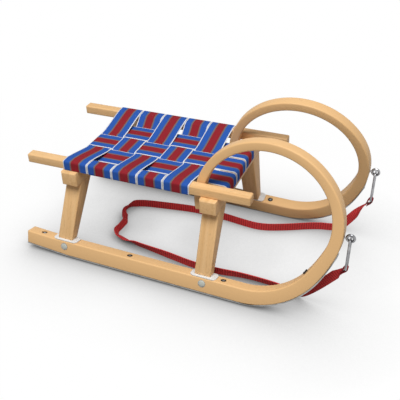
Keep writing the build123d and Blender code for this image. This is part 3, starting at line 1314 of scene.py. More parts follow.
@dataclass
class WoodFrame:
    """Rails, crossbeams and legs, from their CAD solids with softened edges.

    Attributes:
        seat: The plane of the rails.
        edge, rail_edge: Radius of the softened edges, and of the rails' own.
        grain_step: Shift of the grain for each step in the letters of a node's name, so that no two match.
    """

    seat: SeatPlane
    edge: float = 0.0022
    rail_edge: float = 0.0036
    grain_step: float = 0.37

    def board(self, node: str, grain: Vector, edge: float, finishes: Finishes) -> None:
        """Make one straight piece of wood.

        Args:
            node: Its CAD node.
            grain: Direction of its grain.
            edge: Radius of its edges.
            finishes: The sled's materials.
        """
        thing = softened_copy(node, f"beech_{node}", edge)
        middle = middle_of(node)
        turn = grain.to_track_quat("X", "Z").to_matrix().transposed()
        shift = X_AXIS * (sum(ord(letter) for letter in node) * self.grain_step)
        set_grain(thing.data, [turn @ (vertex.co - middle) + shift for vertex in thing.data.vertices])
        dress(thing, finishes.beech)
        adopt(thing, node)

    def build(self, finishes: Finishes) -> None:
        """Make every rail, crossbeam and leg.

        Args:
            finishes: The sled's materials.
        """
        for end in ENDS:
            self.board(f"crossbeam_{end}", Y_AXIS, self.edge, finishes)
        for side in Side:
            self.board(f"rail_{side.word}", self.seat.along, self.rail_edge, finishes)
            for end in ENDS:
                node = f"leg_{end}_{side.word}"
                low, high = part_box(node)
                lean = Vector((0, -side.value * (high.y - low.y) / 2, high.z - low.z))
                self.board(node, lean.normalized(), self.edge, finishes)


@dataclass
class Fasteners:
    """Foot plates, domed pins, and the nuts of the running strips.

    Attributes:
        runner: The runners that carry them.
        pin_radius, pin_rim: Size of the flat rim under a pin's dome, a steel ring that also stands in for the
            shade at the dome's foot as painted shade.
        pin_share, pin_height: Share of the rim's radius that the dome takes, and its height.
        pin_sides, dome_rings: Sides of a pin, and rings of the ball that its dome is the half of.
        nut_radius, nut_height, nut_sides: Size of a nut, across its corners, and its sides.
        bolt_radius, bolt_height, bolt_sides: Size and sides of the bolt's end in the nut.
        bend_rise: How much higher the nuts on the bend are, which have no recess.
        plate_edge, plate_steps: Radius of the foot plates' edges, and the straight pieces in each.
    """

    runner: Runner
    pin_radius: float = 0.0085
    pin_rim: float = 0.0008
    pin_share: float = 0.93
    pin_height: float = 0.0026
    pin_sides: int = 32
    dome_rings: int = 16
    nut_radius: float = 0.0064
    nut_height: float = 0.0020
    nut_sides: int = 6
    bolt_radius: float = 0.0026
    bolt_height: float = 0.0024
    bolt_sides: int = 20
    bend_rise: float = 0.0012
    plate_edge: float = 0.0007
    plate_steps: int = 2

    def points(self, name: str, spots: Sequence[Spot]) -> bpy.types.Mesh:
        """Make a mesh of bare points that know which way they face.

        Args:
            name: The mesh's name.
            spots: Place and facing of each point.

        Returns:
            The mesh.
        """
        mesh = bpy.data.meshes.new(name)
        mesh.from_pydata([place for place, facing in spots], [], [])
        layer = mesh.attributes.new(FACING, "FLOAT_VECTOR", "POINT")
        layer.data.foreach_set("vector", [value for place, facing in spots for value in facing])
        return mesh

    def set_on_points(self, tree: GeometryTree, shape: Socket, material: bpy.types.Material) -> None:
        """End a tree by setting a shape on each of its points.

        Args:
            tree: The tree.
            shape: The shape, with its own Z outwards.
            material: The material of the result.
        """
        facing = tree.node("GeometryNodeInputNamedAttribute", {"Name": FACING}, data_type="FLOAT_VECTOR")
        aim = tree.node(
            "FunctionNodeAlignRotationToVector", {"Vector": facing.outputs["Attribute"]}, axis="Z"
        )
        inputs = {"Points": tree.given("Geometry"), "Instance": shape, "Rotation": aim.outputs["Rotation"]}
        tree.end(tree.node("GeometryNodeInstanceOnPoints", inputs).outputs["Instances"], material)

    def pin_tree(self, material: bpy.types.Material) -> GeometryTree:
        """Write the tree of a pin's low dome.

        Args:
            material: The dome's material.

        Returns:
            The tree, with the dome's radius and height as inputs.
        """
        tree = GeometryTree("domed pin")
        tree.take("NodeSocketFloat", "Radius", "Dome Height")
        radius, height = tree.given("Radius"), tree.given("Dome Height")
        inputs = {"Segments": self.pin_sides, "Rings": self.dome_rings, "Radius": 1.0}
        ball = tree.node("GeometryNodeMeshUVSphere", inputs)
        size = tree.node("ShaderNodeCombineXYZ", {"X": radius, "Y": radius, "Z": height})
        inputs = {"Geometry": ball.outputs["Mesh"], "Scale": size.outputs["Vector"]}
        dome = tree.node("GeometryNodeTransform", inputs)
        self.set_on_points(tree, tree.smooth(dome.outputs["Geometry"]), material)
        return tree

    def stub_tree(self, name: str, sides: int, material: bpy.types.Material) -> GeometryTree:
        """Write the tree of a short stub with a flat end.

        Args:
            name: The tree's name.
            sides: Sides of the stub.
            material: Its material.

        Returns:
            The tree, with the stub's radius and height as inputs.
        """
        tree = GeometryTree(name)
        tree.take("NodeSocketFloat", "Radius", "Height")
        radius, height = tree.given("Radius"), tree.given("Height")
        body = tree.node("GeometryNodeMeshCylinder", {"Vertices": sides, "Radius": radius, "Depth": height})
        half = tree.node("ShaderNodeMath", {0: height, 1: 0.5}, operation="MULTIPLY")
        lift = tree.node("ShaderNodeCombineXYZ", {"Z": half.outputs[0]})
        inputs = {"Geometry": body.outputs["Mesh"], "Translation": lift.outputs["Vector"]}
        seated = tree.node("GeometryNodeTransform", inputs)
        self.set_on_points(tree, seated.outputs["Geometry"], material)
        return tree

    def pin_spot(self, node: str, side: Side) -> Spot:
        """Find where a pin sits on the outer side of its runner.

        Args:
            node: The pin's CAD node.
            side: Its side.

        Returns:
            Its place and facing.
        """
        middle = middle_of(node)
        facing = side.place(self.runner.outwards)
        surface = side.place(self.runner.point(0, 0, self.runner.width / 2))
        return middle + facing * (surface - middle).dot(facing), facing

    def build(self, finishes: Finishes) -> None:
        """Make the plates, the pins and the nuts.

        Args:
            finishes: The sled's materials.
        """
        nuts = []
        bend_nuts = []
        pins = []
        pin_nodes = []
        for side in Side:
            for place, facing in self.runner.nuts():
                nuts.append((side.place(place - facing * self.runner.recess_depth), side.place(facing)))
            bend_nuts.append(tuple(side.place(vector) for vector in self.runner.bend_nut()))
            for end in ENDS:
                pin_nodes.append(f"foot_pin_{end}_{side.word}")
                pins.append(self.pin_spot(pin_nodes[-1], side))
                node = f"foot_plate_{end}_{side.word}"
                plate = softened_copy(node, f"moulded_{node}", self.plate_edge, self.plate_steps)
                dress(plate, finishes.foot)
                adopt(plate, node)
        domes = self.pin_tree(finishes.pin).make(
            "domed_pins", self.points("dome points", pins),
            {"Radius": self.pin_share * self.pin_radius, "Dome Height": self.pin_height},
        )
        adopt(domes, *pin_nodes)
        rim = (self.pin_sides, self.pin_radius, self.pin_rim)
        nut = (self.nut_sides, self.nut_radius, self.nut_height)
        bolt = (self.bolt_sides, self.bolt_radius, self.bolt_height)
        stubs = (
            # The pins' rims are steel rings, darker than the caps, that also paint the shade at each dome's
            # foot.
            ("pin_rims", pins, rim, 0.0, finishes.running_steel, Slot.PIN_METAL),
            ("strip_nuts", nuts, nut, 0.0, finishes.nut_steel, Slot.RUNNING_STEEL),
            ("bolt_ends", nuts, bolt, 0.0, finishes.bright_steel, Slot.RUNNING_STEEL),
            ("bend_nuts", bend_nuts, nut, self.bend_rise, finishes.nut_steel, Slot.RUNNING_STEEL),
            ("bend_bolts", bend_nuts, bolt, self.bend_rise, finishes.bright_steel, Slot.RUNNING_STEEL),
        )
        for name, spots, (sides, radius, height), rise, material, slot in stubs:
            stub = self.stub_tree(name, sides, material).make(
                name, self.points(f"{name} points", spots), {"Radius": radius, "Height": height + rise}
            )
            adopt(stub)


@dataclass
class SeatWebbing:
    """Five bands across and three along, woven over and under, and wrapped round the frame.

    Attributes:
        seat: The plane of the rails.
        cross_width, length_width: Widths of the bands across and along.
        pitch, thickness: Distance of their middles, and their thickness.
        rise: How far a band across passes over or under the middle of those along.
        sway: How far a band along gives way where it is crossed.
        middle: Height of the bands along above the plane.
        cross_middle: Place of the third band across.
        rail_inner, rail_outer, rail_height: Section of the right rail, as distances from the middle.
        wrap: Distance of a band's middle from the wood.
        over_start, under_start: Places where a band starts to climb to the rail, after it passes over or
            under the outer bands along.
        rear_face, front_face: Outer faces of the crossbeams, along the plane.
        drop: How far the bands along hang down there.
        bend: Reach of their bend over the crossbeams.
        cross_count: Number of bands across.
        step: Half the length of the step from one level to the other, between two bands along.
        lead: Length of the level stretch before the climb to the rail.
        climb: Points of the climb, as shares of its length and of its height.
        arrival: How far short of the rail's inner edge, and below its top, the climb ends.
        flat: Distances from the rail's inner and outer edges between which a band lies flat on it.
        corner: Drops below the band's own height and below the rail's top, round the rail's outer edge.
        tuck: Height at the rail's lower outer edge, shift at the turn below it, and distances from the
            rail's edges on its underside.
        level: Place of the level points beside a crossing's middle, as a share of the pitch for the bands
            along, and of half the pitch for those across.
        fall: Share of the drop at which the rear end is still straight.
        front_rise: Height of the bands along above the front crossbeam, beyond the wrap.
        front_stops: Where they come to rest there, in reaches of the bend before the front face.
        resolution: Points for each span of a band's spline.
        across_shares, rims: Places across a band, as shares, and the share of its thickness at each.
    """

    seat: SeatPlane
    cross_width: float = 0.0594
    length_width: float = 0.0572
    pitch: float = 0.060
    thickness: float = 0.0014
    rise: float = 0.0019
    sway: float = 0.0004
    middle: float = 0.0030
    cross_middle: float = -0.030
    cross_count: int = 5
    rail_inner: float = 0.1174
    rail_outer: float = 0.1404
    rail_height: float = 0.021
    wrap: float = 0.0011
    over_start: float = 0.042
    under_start: float = 0.0914
    rear_face: float = -0.1825
    front_face: float = 0.1818
    drop: float = 0.024
    bend: float = 0.009
    step: float = 0.0015
    lead: float = 0.006
    climb: tuple[tuple[float, float], ...] = ((0.3, 0.27), (0.75, 0.74))
    arrival: tuple[float, float] = (0.003, 0.0018)
    flat: tuple[float, float] = (0.004, 0.006)
    corner: tuple[float, float] = (0.0002, 0.008)
    tuck: tuple[float, float, float, float] = (0.002, 0.001, 0.007, 0.002)
    level: float = 0.3
    fall: float = 0.6
    front_rise: float = 0.0003
    front_stops: tuple[float, ...] = (4.2, 2.0, 0.0)
    resolution: int = 6
    across_shares: tuple[float, ...] = (0.0, 0.012, 0.05, 0.2, 0.35, 0.5, 0.65, 0.8, 0.95, 0.988, 1.0)
    rims: tuple[float, ...] = (0.3, 0.7, 1.0, 1.0, 1.0, 1.0, 1.0, 1.0, 1.0, 0.7, 0.3)

    def band(
        self, name: str, line: Sequence[Vector], across: Vector, width: float
    ) -> tuple[bpy.types.Mesh, float]:
        """Sweep a band's flat section along a line.

        Args:
            name: The band's name.
            line: Control points of its middle.
            across: Direction of its width.
            width: Its width.

        Returns:
            The mesh, with the share across and the length along as its UV map, and its length.
        """
        points = nurbs_points(line, self.resolution)
        run = lengths(points)
        rings = []
        for point, ahead, length in zip(points, tangents(points), run):
            normal = across.cross(ahead).normalized()
            ring = Ring([], [])
            for sign in (1, -1):
                for share, rim in list(zip(self.across_shares, self.rims))[::sign]:
                    lift = normal * (sign * rim * self.thickness / 2)
                    ring.points.append(point + across * ((share - 0.5) * width) + lift)
                    ring.marks.append((share, length))
            rings.append(ring)
        return webbing_skin(name, rings), run[-1]

    def cross_line(self, number: int) -> list[Vector]:
        """Return the control points of a band across, from the right end to the left one.

        Args:
            number: The band's number, from 1 at the rear.

        Returns:
            The control points.
        """
        x = self.cross_middle + (number - (self.cross_count + 1) / 2) * self.pitch
        outer, inner = (Pass.OVER, Pass.UNDER) if number % 2 else (Pass.UNDER, Pass.OVER)
        high, low = self.middle + outer.value * self.rise, self.middle + inner.value * self.rise
        top = self.rail_height + self.wrap
        edge = self.rail_outer + self.wrap
        start = self.over_start if outer is Pass.OVER else self.under_start
        climb = self.rail_inner - start
        gap = self.pitch / 2
        half = [(self.level * gap, low), ((1 - self.level) * gap, low)]
        half += [(gap - self.step, low), (gap + self.step, high)]
        if outer is Pass.UNDER:
            half.append((self.pitch, high))
        half += [(start - self.lead, high), (start, high)]
        half += [(start + along * climb, high + up * (top - high)) for along, up in self.climb]
        half += [
            (self.rail_inner - self.arrival[0], top - self.arrival[1]),
            (self.rail_inner + self.flat[0], top),
            (self.rail_outer - self.flat[1], top),
            (edge, top - self.corner[0]),
            (edge, self.rail_height - self.corner[1]),
            (edge, self.rail_height / 2),
        ]
        if number == 1:
            half.append((edge, self.wrap))
        else:
            height, shift, from_outer, from_inner = self.tuck
            half += [(edge, height), (edge - shift, -self.wrap)]
            half += [(self.rail_outer - from_outer, -self.wrap), (self.rail_inner + from_inner, -self.wrap)]
        whole = [(-y, z) for y, z in reversed(half)] + half
        return [self.seat.point(x, y, z) for y, z in whole]

    def length_line(self, across: float, outer: bool) -> list[Vector]:
        """Return the control points of a band along, from the rear to the front.

        Args:
            across: Place of the band's middle.
            outer: True for the two bands beside the rails.

        Returns:
            The control points.
        """
        rear, front = self.rear_face - self.wrap, self.front_face + self.wrap
        line = [(rear, -self.drop), (rear, -self.fall * self.drop), (rear, -self.bend)]
        line += [(rear, self.middle), (rear + 2 * self.bend, self.middle)]
        first = self.cross_middle - (self.cross_count - 1) / 2 * self.pitch
        for number in range(1, self.cross_count + 1):
            crossed_over = (number % 2 == 1) == outer
            height = self.middle + (-self.sway if crossed_over else self.sway)
            x = first + (number - 1) * self.pitch
            if number > 1:
                line.append((x - self.level * self.pitch, height))
            line.append((x + self.level * self.pitch, height))
        rest = self.wrap + self.front_rise
        line += [(front - stop * self.bend, rest) for stop in self.front_stops]
        line += [(front, rest - 2 * self.bend), (front, -self.drop)]
        return [self.seat.point(x, across, z) for x, z in line]

    def build(self, finishes: Finishes) -> None:
        """Make the eight bands and log the size of each.

        Args:
            finishes: The sled's materials.
        """
        rails, beams = ["rail_right", "rail_left"], ["crossbeam_rear", "crossbeam_front"]
        bands = [
            (f"cross_band_{n}", self.cross_line(n), -self.seat.along, self.cross_width, rails)
            for n in range(1, self.cross_count + 1)
        ]
        bands += [
            (f"length_band_{word}", self.length_line(y, y != 0), Y_AXIS, self.length_width, beams)
            for word, y in (("right", -self.pitch), ("middle", 0.0), ("left", self.pitch))
        ]
        for node, line, across, width, carriers in bands:
            name = f"woven_{node}"
            mesh, length = self.band(name, line, across, width)
            thing = link_object(name, mesh)
            dress(thing, finishes.webbing)
            adopt(thing, node)
            LOG.info("%s: cut to %.4f by %.3f m", name, width, length)


@dataclass
class TowFittings:
    """Screw eyes in the horns, and the long wire links that hang in them.

    Attributes:
        ring, wire: Radius of the eye's ring and of its wire.
        ring_steps, wire_sides: Sections round the ring, and sides of its wire.
        shank, shank_sides: Radius of the screw's neck, and its sides.
        overlap: How far the neck reaches into the ring's wire, as a share of the wire's radius.
        collar, collar_share: Length of the thicker stretch next to the ring, and its share of the radius.
        point, point_share: Length of the screw's point, and its share of the radius.
        link_wire, link_corner: Radius of the link's wire and of its corners.
        link_sides, corner_steps: Sides of the link's wire, and points in each corner.
    """

    ring: float = 0.0075
    wire: float = 0.0028
    ring_steps: int = 40
    wire_sides: int = 16
    shank: float = 0.0024
    shank_sides: int = 20
    overlap: float = 0.6
    collar: float = 0.0022
    collar_share: float = 1.05
    point: float = 0.004
    point_share: float = 0.35
    link_wire: float = 0.0023
    link_corner: float = 0.0040
    link_sides: int = 16
    corner_steps: int = 8

    def eye_centre(self, side: Side) -> Vector:
        """Return the middle of one eye's ring, from its CAD node."""
        node = f"screw_eye_{side.word}"
        return Vector((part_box(node)[1].x - self.ring - self.wire, *middle_of(node).yz))

    def eye(self, side: Side) -> bpy.types.Mesh:
        """Return the mesh of one screw eye: the ring and its neck.

        Args:
            side: The eye's side.

        Returns:
            The mesh.
        """
        centre = self.eye_centre(side)
        shape = bmesh.new()
        ring = []
        for out in circle(Vector(), X_AXIS, Z_AXIS, 1.0, self.ring_steps):
            section = circle(centre + out * self.ring, out, Y_AXIS, self.wire, self.wire_sides)
            ring.append([shape.verts.new(point) for point in section])
        join_loops(shape, [*ring, ring[0]])
        start = centre.x - self.ring - (1 - self.overlap) * self.wire
        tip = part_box(f"screw_eye_{side.word}")[0].x
        neck = []
        for x, radius in (
            (start, self.collar_share * self.shank), (start - self.collar, self.shank),
            (tip + self.point, self.shank), (tip, self.point_share * self.shank),
        ):
            section = circle(Vector((x, centre.y, centre.z)), Y_AXIS, Z_AXIS, radius, self.shank_sides)
            neck.append([shape.verts.new(point) for point in section])
        join_loops(shape, neck)
        for end in (neck[0], neck[-1]):
            shape.faces.new(end)
        bmesh.ops.recalc_face_normals(shape, faces=shape.faces)
        mesh = bpy.data.meshes.new(f"bright_eye_{side.word}")
        shape.to_mesh(mesh)
        shape.free()
        smooth_by_angle(mesh, WIRE_CREASE)
        return mesh

    def link_tree(self, material: bpy.types.Material) -> GeometryTree:
        """Write the tree of a wire bent to a long loop with round corners.

        Args:
            material: The wire's material.

        Returns:
            The tree, with the loop's sizes and its middle as inputs.
        """
        tree = GeometryTree("wire link")
        tree.take("NodeSocketFloat", "Width", "Length", "Corner", "Wire Radius")
        tree.take("NodeSocketVector", "Middle")
        inputs = {"Width": tree.given("Width"), "Height": tree.given("Length")}
        loop = tree.node("GeometryNodeCurvePrimitiveQuadrilateral", inputs)
        inputs = {"Curve": loop.outputs["Curve"], "Count": self.corner_steps, "Radius": tree.given("Corner")}
        rounded = tree.node("GeometryNodeFilletCurve", inputs, mode="POLY")
        inputs = {"Resolution": self.link_sides, "Radius": tree.given("Wire Radius")}
        section = tree.node("GeometryNodeCurvePrimitiveCircle", inputs)
        inputs = {"Curve": rounded.outputs["Curve"], "Profile Curve": section.outputs["Curve"]}
        wire = tree.node("GeometryNodeCurveToMesh", inputs)
        upright = (math.pi / 2, 0, math.pi / 2)
        inputs = {
            "Geometry": wire.outputs["Mesh"], "Rotation": upright, "Translation": tree.given("Middle"),
        }
        hung = tree.node("GeometryNodeTransform", inputs)
        tree.end(tree.smooth(hung.outputs["Geometry"]), material)
        return tree

    def build(self, finishes: Finishes) -> None:
        """Make the eyes and the links.

        Args:
            finishes: The sled's materials.
        """
        tree = self.link_tree(finishes.bright_steel)
        for side in Side:
            eye = link_object(f"bright_eye_{side.word}", self.eye(side))
            dress(eye, finishes.bright_steel)
            adopt(eye, f"screw_eye_{side.word}")
            node = f"tow_link_{side.word}"
            low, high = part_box(node)
            link = tree.make(
                f"wire_link_{side.word}", bpy.data.meshes.new("empty"),
                {
                    "Width": high.y - low.y - 2 * self.link_wire,
                    "Length": high.z - low.z - 2 * self.link_wire,
                    "Corner": self.link_corner,
                    "Wire Radius": self.link_wire,
                    "Middle": middle_of(node),
                },
            )
            adopt(link, node)


@dataclass
class TowStrap:
    """The tow strap: one ribbon from link to link, with a sewn loop at each end.

    The route follows the frame's own, with its points moved at the bight and at the far front.
    The strap stands on its edge along the floor, turns flat on the way up and is gathered at its ends
    to pass through the links.

    Attributes:
        fittings: The links that it passes through.
        width, thickness: Section of the webbing.
        face: Places of a section's points across each face, as shares of the width from the middle.
        gathered: Width of the gathered ends.
        gather_length: Length over which the width changes.
        twist_lengths: Length over which the strap turns flat, at the right link and at the left one.
        leans: Lean of the strap from upright on the floor, as lengths along it and degrees.
        floor_level: Height below which a point of the route lies on the floor.
        resolution: Points for each span of the route's spline.
        loop_width, loop_thickness: Section of the sewn loops.
        seam, seam_share: Length of a loop's plies on the strap, and the share of it that lies flat.
        loop_bend: Half of a loop's bend round the link's bar, as distances along the strap and beside it.
        slack: Size of the bend at the right link and at the left one, as shares.
        route: Control points of the strap's middle, from the right link to the left one.
    """

    fittings: TowFittings
    width: float = 0.020
    thickness: float = 0.0020
    face: tuple[float, ...] = (-0.49, -0.3, -0.1, 0.1, 0.3, 0.49)
    gathered: float = 0.0116
    gather_length: float = 0.018
    twist_lengths: tuple[float, float] = (0.026, 0.075)
    leans: tuple[tuple[float, float], ...] = (
        (0.12, 0.0), (0.17, -20.0), (0.24, -22.0), (0.36, -4.0), (0.44, -6.0), (0.54, -24.0),
        (0.58, -57.0), (0.598, -54.0), (0.616, -26.0), (0.63, -6.0), (0.652, -10.0), (0.675, -36.0),
        (0.698, -38.0), (0.722, 26.0), (0.732, 26.0), (0.752, 0.0),
    )
    floor_level: float = 0.01005
    resolution: int = 10
    loop_width: float = 0.0112
    loop_thickness: float = 0.0015
    seam: float = 0.018
    seam_share: float = 0.8
    loop_bend: tuple[tuple[float, float], ...] = (
        (0.0095, 0.0038), (0.0045, 0.0046), (-0.0012, 0.0044), (-0.0044, 0.0024),
    )
    slack: tuple[float, float] = (0.8, 1.0)
    route: tuple[tuple[float, float, float], ...] = (
        (0.3540, -0.1297, 0.1178), (0.2800, -0.1162, 0.0100), (0.2460, -0.1100, 0.0100),
        (0.2050, -0.1025, 0.0100), (0.1350, -0.1010, 0.0100), (0.0810, -0.1100, 0.0100),
        (0.0250, -0.1110, 0.0100), (-0.0410, -0.1000, 0.0100), (-0.1030, -0.0920, 0.0100),
        (-0.1580, -0.0840, 0.0100), (-0.1840, -0.0750, 0.0100), (-0.1980, -0.0690, 0.0100),
        (-0.2030, -0.0600, 0.0100), (-0.2010, -0.0400, 0.0100), (-0.2010, -0.0160, 0.0100),
        (-0.2080, -0.0060, 0.0100), (-0.2205, 0.0190, 0.0100), (-0.2235, 0.0360, 0.0100),
        (-0.2215, 0.0510, 0.0100), (-0.2110, 0.0620, 0.0100), (-0.1850, 0.0720, 0.0100),
        (-0.1480, 0.0790, 0.0100), (-0.1000, 0.0880, 0.0100), (-0.0530, 0.0950, 0.0100),
        (0.0220, 0.0930, 0.0100), (0.0680, 0.0870, 0.0100), (0.1180, 0.0840, 0.0100),
        (0.1750, 0.1080, 0.0100), (0.2180, 0.1310, 0.0100), (0.2500, 0.1450, 0.0100),
        (0.2700, 0.1490, 0.0100), (0.2940, 0.1560, 0.0100), (0.3200, 0.1450, 0.0540),
        (0.3527, 0.1321, 0.1127),
    )

    def ribbon(
        self, name: str, points: Sequence[Vector], width_at: Callable[[float, float], float],
        facing_at: Callable[[Vector, float, float], Vector], thickness: float,
    ) -> bpy.types.Mesh:
        """Sweep a flat section along a line.

        Args:
            name: The mesh's name.
            points: The line.
            width_at: Width at a length along the line, given the whole length too.
            facing_at: Direction of the width, from the line's direction and the same two lengths.
            thickness: Thickness of the section.

        Returns:
            The mesh.
        """
        run = lengths(points)
        rings = []
        for point, ahead, length in zip(points, tangents(points), run):
            across = facing_at(ahead, length, run[-1])
            across = (across - ahead * across.dot(ahead)).normalized()
            normal = ahead.cross(across)
            width = width_at(length, run[-1])
            if point.z < self.floor_level:
                point = Vector((point.x, point.y, abs(across.z) * width / 2 + abs(normal.z) * thickness / 2))
            ring = Ring([], [])
            for a, b in self.section():
                ring.points.append(point + across * (a * width) + normal * (b * thickness))
                ring.marks.append((a + 0.5, length))
            rings.append(ring)
        return webbing_skin(name, rings)

    def section(self) -> list[tuple[float, float]]:
        """Return the ribbon's section as shares of its width and thickness."""
        under, over = [(a, -0.5) for a in self.face], [(a, 0.5) for a in reversed(self.face)]
        return [(-0.5, 0.0), *under, (0.5, 0.0), *over]

    def strap_width(self, length: float, whole: float) -> float:
        """Return the strap's width at a length along it, given its whole length."""
        share = ease(min(1.0, min(length, whole - length) / self.gather_length))
        return self.gathered + (self.width - self.gathered) * share

    def lean_at(self, length: float) -> float:
        """Find the strap's lean.

        Args:
            length: Length along the strap.

        Returns:
            The lean there, in degrees.
        """
        for (before, first), (after, second) in zip(self.leans, self.leans[1:]):
            if before <= length < after:
                return first + (second - first) * ease((length - before) / (after - before))
        return 0.0

    def strap_facing(self, ahead: Vector, length: float, whole: float) -> Vector:
        """Return the direction of the strap's width.

        It stands on the floor with a lean that changes along it, and is turned level towards the links.

        Args:
            ahead: Direction of the strap.
            length: Length along it.
            whole: Its whole length.

        Returns:
            The direction.
        """
        right_twist, left_twist = self.twist_lengths
        share = ease(min(1.0, length / right_twist, (whole - length) / left_twist))
        upright = (Z_AXIS - ahead * ahead.z).normalized()
        level = ahead.cross(upright)
        turn = math.radians(90) * (1 - share) * (-1 if length > whole / 2 else 1)
        turn += math.radians(self.lean_at(length))
        return upright * math.cos(turn) + level * math.sin(turn)

    def loop(self, side: Side, end: Vector) -> bpy.types.Mesh:
        """Return the sewn loop round a link's lower bar, with its plies on the strap.

        Args:
            side: The link's side.
            end: The strap's end on that side.

        Returns:
            The mesh.
        """
        low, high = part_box(f"tow_link_{side.word}")
        bar = Vector(((low.x + high.x) / 2, (low.y + high.y) / 2, low.z + self.fittings.link_wire))
        inner = Vector(self.route[1 if side is Side.RIGHT else -2])
        back = Vector((inner.x - end.x, 0, inner.z - end.z)).normalized()
        aside = Vector((back.z, 0, -back.x))
        ply = self.thickness / 2 + self.loop_thickness / 2
        slack = self.slack[0 if side is Side.RIGHT else 1]
        half = [(self.seam, ply), (self.seam_share * self.seam * slack, ply)]
        half += [(along * slack, beside * slack) for along, beside in self.loop_bend]
        outline = half + [(along, -beside) for along, beside in reversed(half)]
        line = [bar + back * along + aside * beside for along, beside in outline]
        return self.ribbon(
            f"sewn_loop_{side.word}", nurbs_points(line, self.resolution),
            lambda length, whole: self.loop_width,
            lambda ahead, length, whole: Y_AXIS, self.loop_thickness,
        )

    def build(self, finishes: Finishes) -> bpy.types.Object:
        """Args:
            finishes: The sled's materials.

        Returns:
            The strap.
        """
        points = nurbs_points([Vector(point) for point in self.route], self.resolution)
        name = "tow_strap"
        mesh = self.ribbon(name, points, self.strap_width, self.strap_facing, self.thickness)
        strap = link_object(name, mesh)
        dress(strap, finishes.strap)
        adopt(strap, "tow_strap_floor", "tow_strap_rise_right", "tow_strap_rise_left")
        for side, end in ((Side.RIGHT, points[0]), (Side.LEFT, points[-1])):
            mesh = self.loop(side, end)
            loop = link_object(mesh.name, mesh)
            # Darker copy of the strap's finish: painted shade.
            dress(loop, finishes.sewn)
            adopt(loop, f"strap_loop_{side.word}")
        return strap


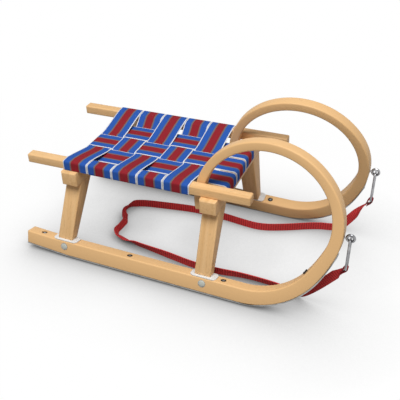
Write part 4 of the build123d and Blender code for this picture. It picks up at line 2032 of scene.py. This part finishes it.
@dataclass
class Studio:
    """Floor, light and camera.

    Attributes:
        camera_place: Place of the camera.
        camera_turn: Its turn about X, Y and Z, in degrees.
        lens, sensor: Its focal length and sensor width, in millimetres.
        floor_size: Side of the square floor.
        key_power, key_size, key_distance: The large soft lamp, high up behind the camera and to its left.
        key_elevation, key_azimuth: Its direction from the sled, in degrees.
        ambient: Strength of the even light from all round.
        fill_place, fill_aim: Place of the weak lamp under the seat, and the point that it faces.
        fill_size, fill_power: Its length and height, and its power.
    """

    camera_place: tuple[float, float, float] = (0.49083, -1.22019, 1.00753)
    camera_turn: tuple[float, float, float] = (55.776, 0.0, 22.253)
    lens: float = 61.89
    sensor: float = 36.0
    floor_size: float = 12.0
    key_power: float = 350.0
    key_size: tuple[float, float] = (3.0, 3.0)
    key_distance: float = 6.0
    key_elevation: float = 67.0
    key_azimuth: float = -78.0
    ambient: float = 0.17
    fill_place: tuple[float, float, float] = (-0.03, -0.030, 0.14)
    fill_aim: tuple[float, float, float] = (-0.03, 0.090, 0.01)
    fill_size: tuple[float, float] = (0.24, 0.06)
    fill_power: float = 0.2

    def floor(self) -> None:
        """Lay the floor just under the runners."""
        half = self.floor_size / 2
        corners = [(-half, -half, 0), (half, -half, 0), (half, half, 0), (-half, half, 0)]
        mesh = bpy.data.meshes.new("studio_floor")
        mesh.from_pydata(corners, [], [(0, 1, 2, 3)])
        floor = link_object("studio_floor", mesh)
        dress(floor, FloorFinish().build())

    def lamp(
        self, name: str, power: float, size: tuple[float, float], place: Vector, aim: Vector
    ) -> bpy.types.Object:
        """Hang a soft lamp.

        Args:
            name: Its name.
            power: Its power.
            size: Its two sides.
            place: Its place.
            aim: The point that it faces.

        Returns:
            The lamp's object.
        """
        lamp = bpy.data.lights.new(name, "AREA")
        lamp.energy = power
        lamp.shape = "RECTANGLE"
        lamp.size, lamp.size_y = size
        thing = link_object(name, lamp)
        thing.location = place
        thing.rotation_euler = (place - aim).to_track_quat("Z", "Y").to_euler()
        return thing

    def key(self) -> None:
        """Hang the large soft lamp."""
        up, turn = math.radians(self.key_elevation), math.radians(self.key_azimuth)
        back = Vector((math.cos(turn) * math.cos(up), math.sin(turn) * math.cos(up), math.sin(up)))
        self.lamp("key", self.key_power, self.key_size, back * self.key_distance, Vector())

    def fill(self, strap: bpy.types.Object) -> None:
        """Hang the weak lamp that lifts the tow strap out of the seat's shadow.

        Args:
            strap: The tow strap, the only piece that the lamp lights.
        """
        place, aim = Vector(self.fill_place), Vector(self.fill_aim)
        thing = self.lamp("fill", self.fill_power, self.fill_size, place, aim)
        thing.visible_camera = thing.visible_glossy = False
        lit = bpy.data.collections.new("fill_lights")
        lit.objects.link(strap)
        thing.light_linking.receiver_collection = lit

    def world(self) -> None:
        """Set the even light, and a white background where it is seen."""
        world = bpy.data.worlds.new("studio")
        bpy.context.scene.world = world
        world.use_nodes = True
        graph = ShaderGraph(world.node_tree)
        colour = (*WHITE, 1.0)
        even = graph.node("ShaderNodeBackground", {"Color": colour, "Strength": self.ambient})
        plain = graph.node("ShaderNodeBackground", {"Color": colour})
        shown = graph.blend(
            graph.seen_directly(), even.outputs["Background"], plain.outputs["Background"]
        )
        graph.node("ShaderNodeOutputWorld", {"Surface": shown})

    def camera(self) -> None:
        """Set up the camera at the photograph's viewing angle."""
        lens = bpy.data.cameras.new("camera")
        lens.lens = self.lens
        lens.sensor_width = self.sensor
        thing = link_object("camera", lens)
        thing.location = self.camera_place
        thing.rotation_euler = [math.radians(angle) for angle in self.camera_turn]
        bpy.context.scene.camera = thing

    def build(self) -> None:
        """Set up the studio, apart from the lamp that needs the strap."""
        scene = bpy.context.scene
        scene.view_settings.view_transform = "Standard"
        self.floor()
        self.key()
        self.world()
        self.camera()


def clear_scene() -> None:
    """Remove what a new file holds."""
    for thing in list(bpy.data.objects):
        bpy.data.objects.remove(thing)


def main() -> None:
    """Build the sled in its studio."""
    logging.basicConfig(level=logging.INFO, format="%(name)s: %(message)s")
    clear_scene()
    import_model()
    studio = Studio()
    studio.build()
    finishes = Finishes.build()
    seat = SeatPlane()
    runner = Runner()
    fittings = TowFittings()
    studio.fill(TowStrap(fittings).build(finishes))
    runner.build(finishes)
    WoodFrame(seat).build(finishes)
    Fasteners(runner).build(finishes)
    SeatWebbing(seat).build(finishes)
    fittings.build(finishes)


if __name__ == "__main__":
    main()
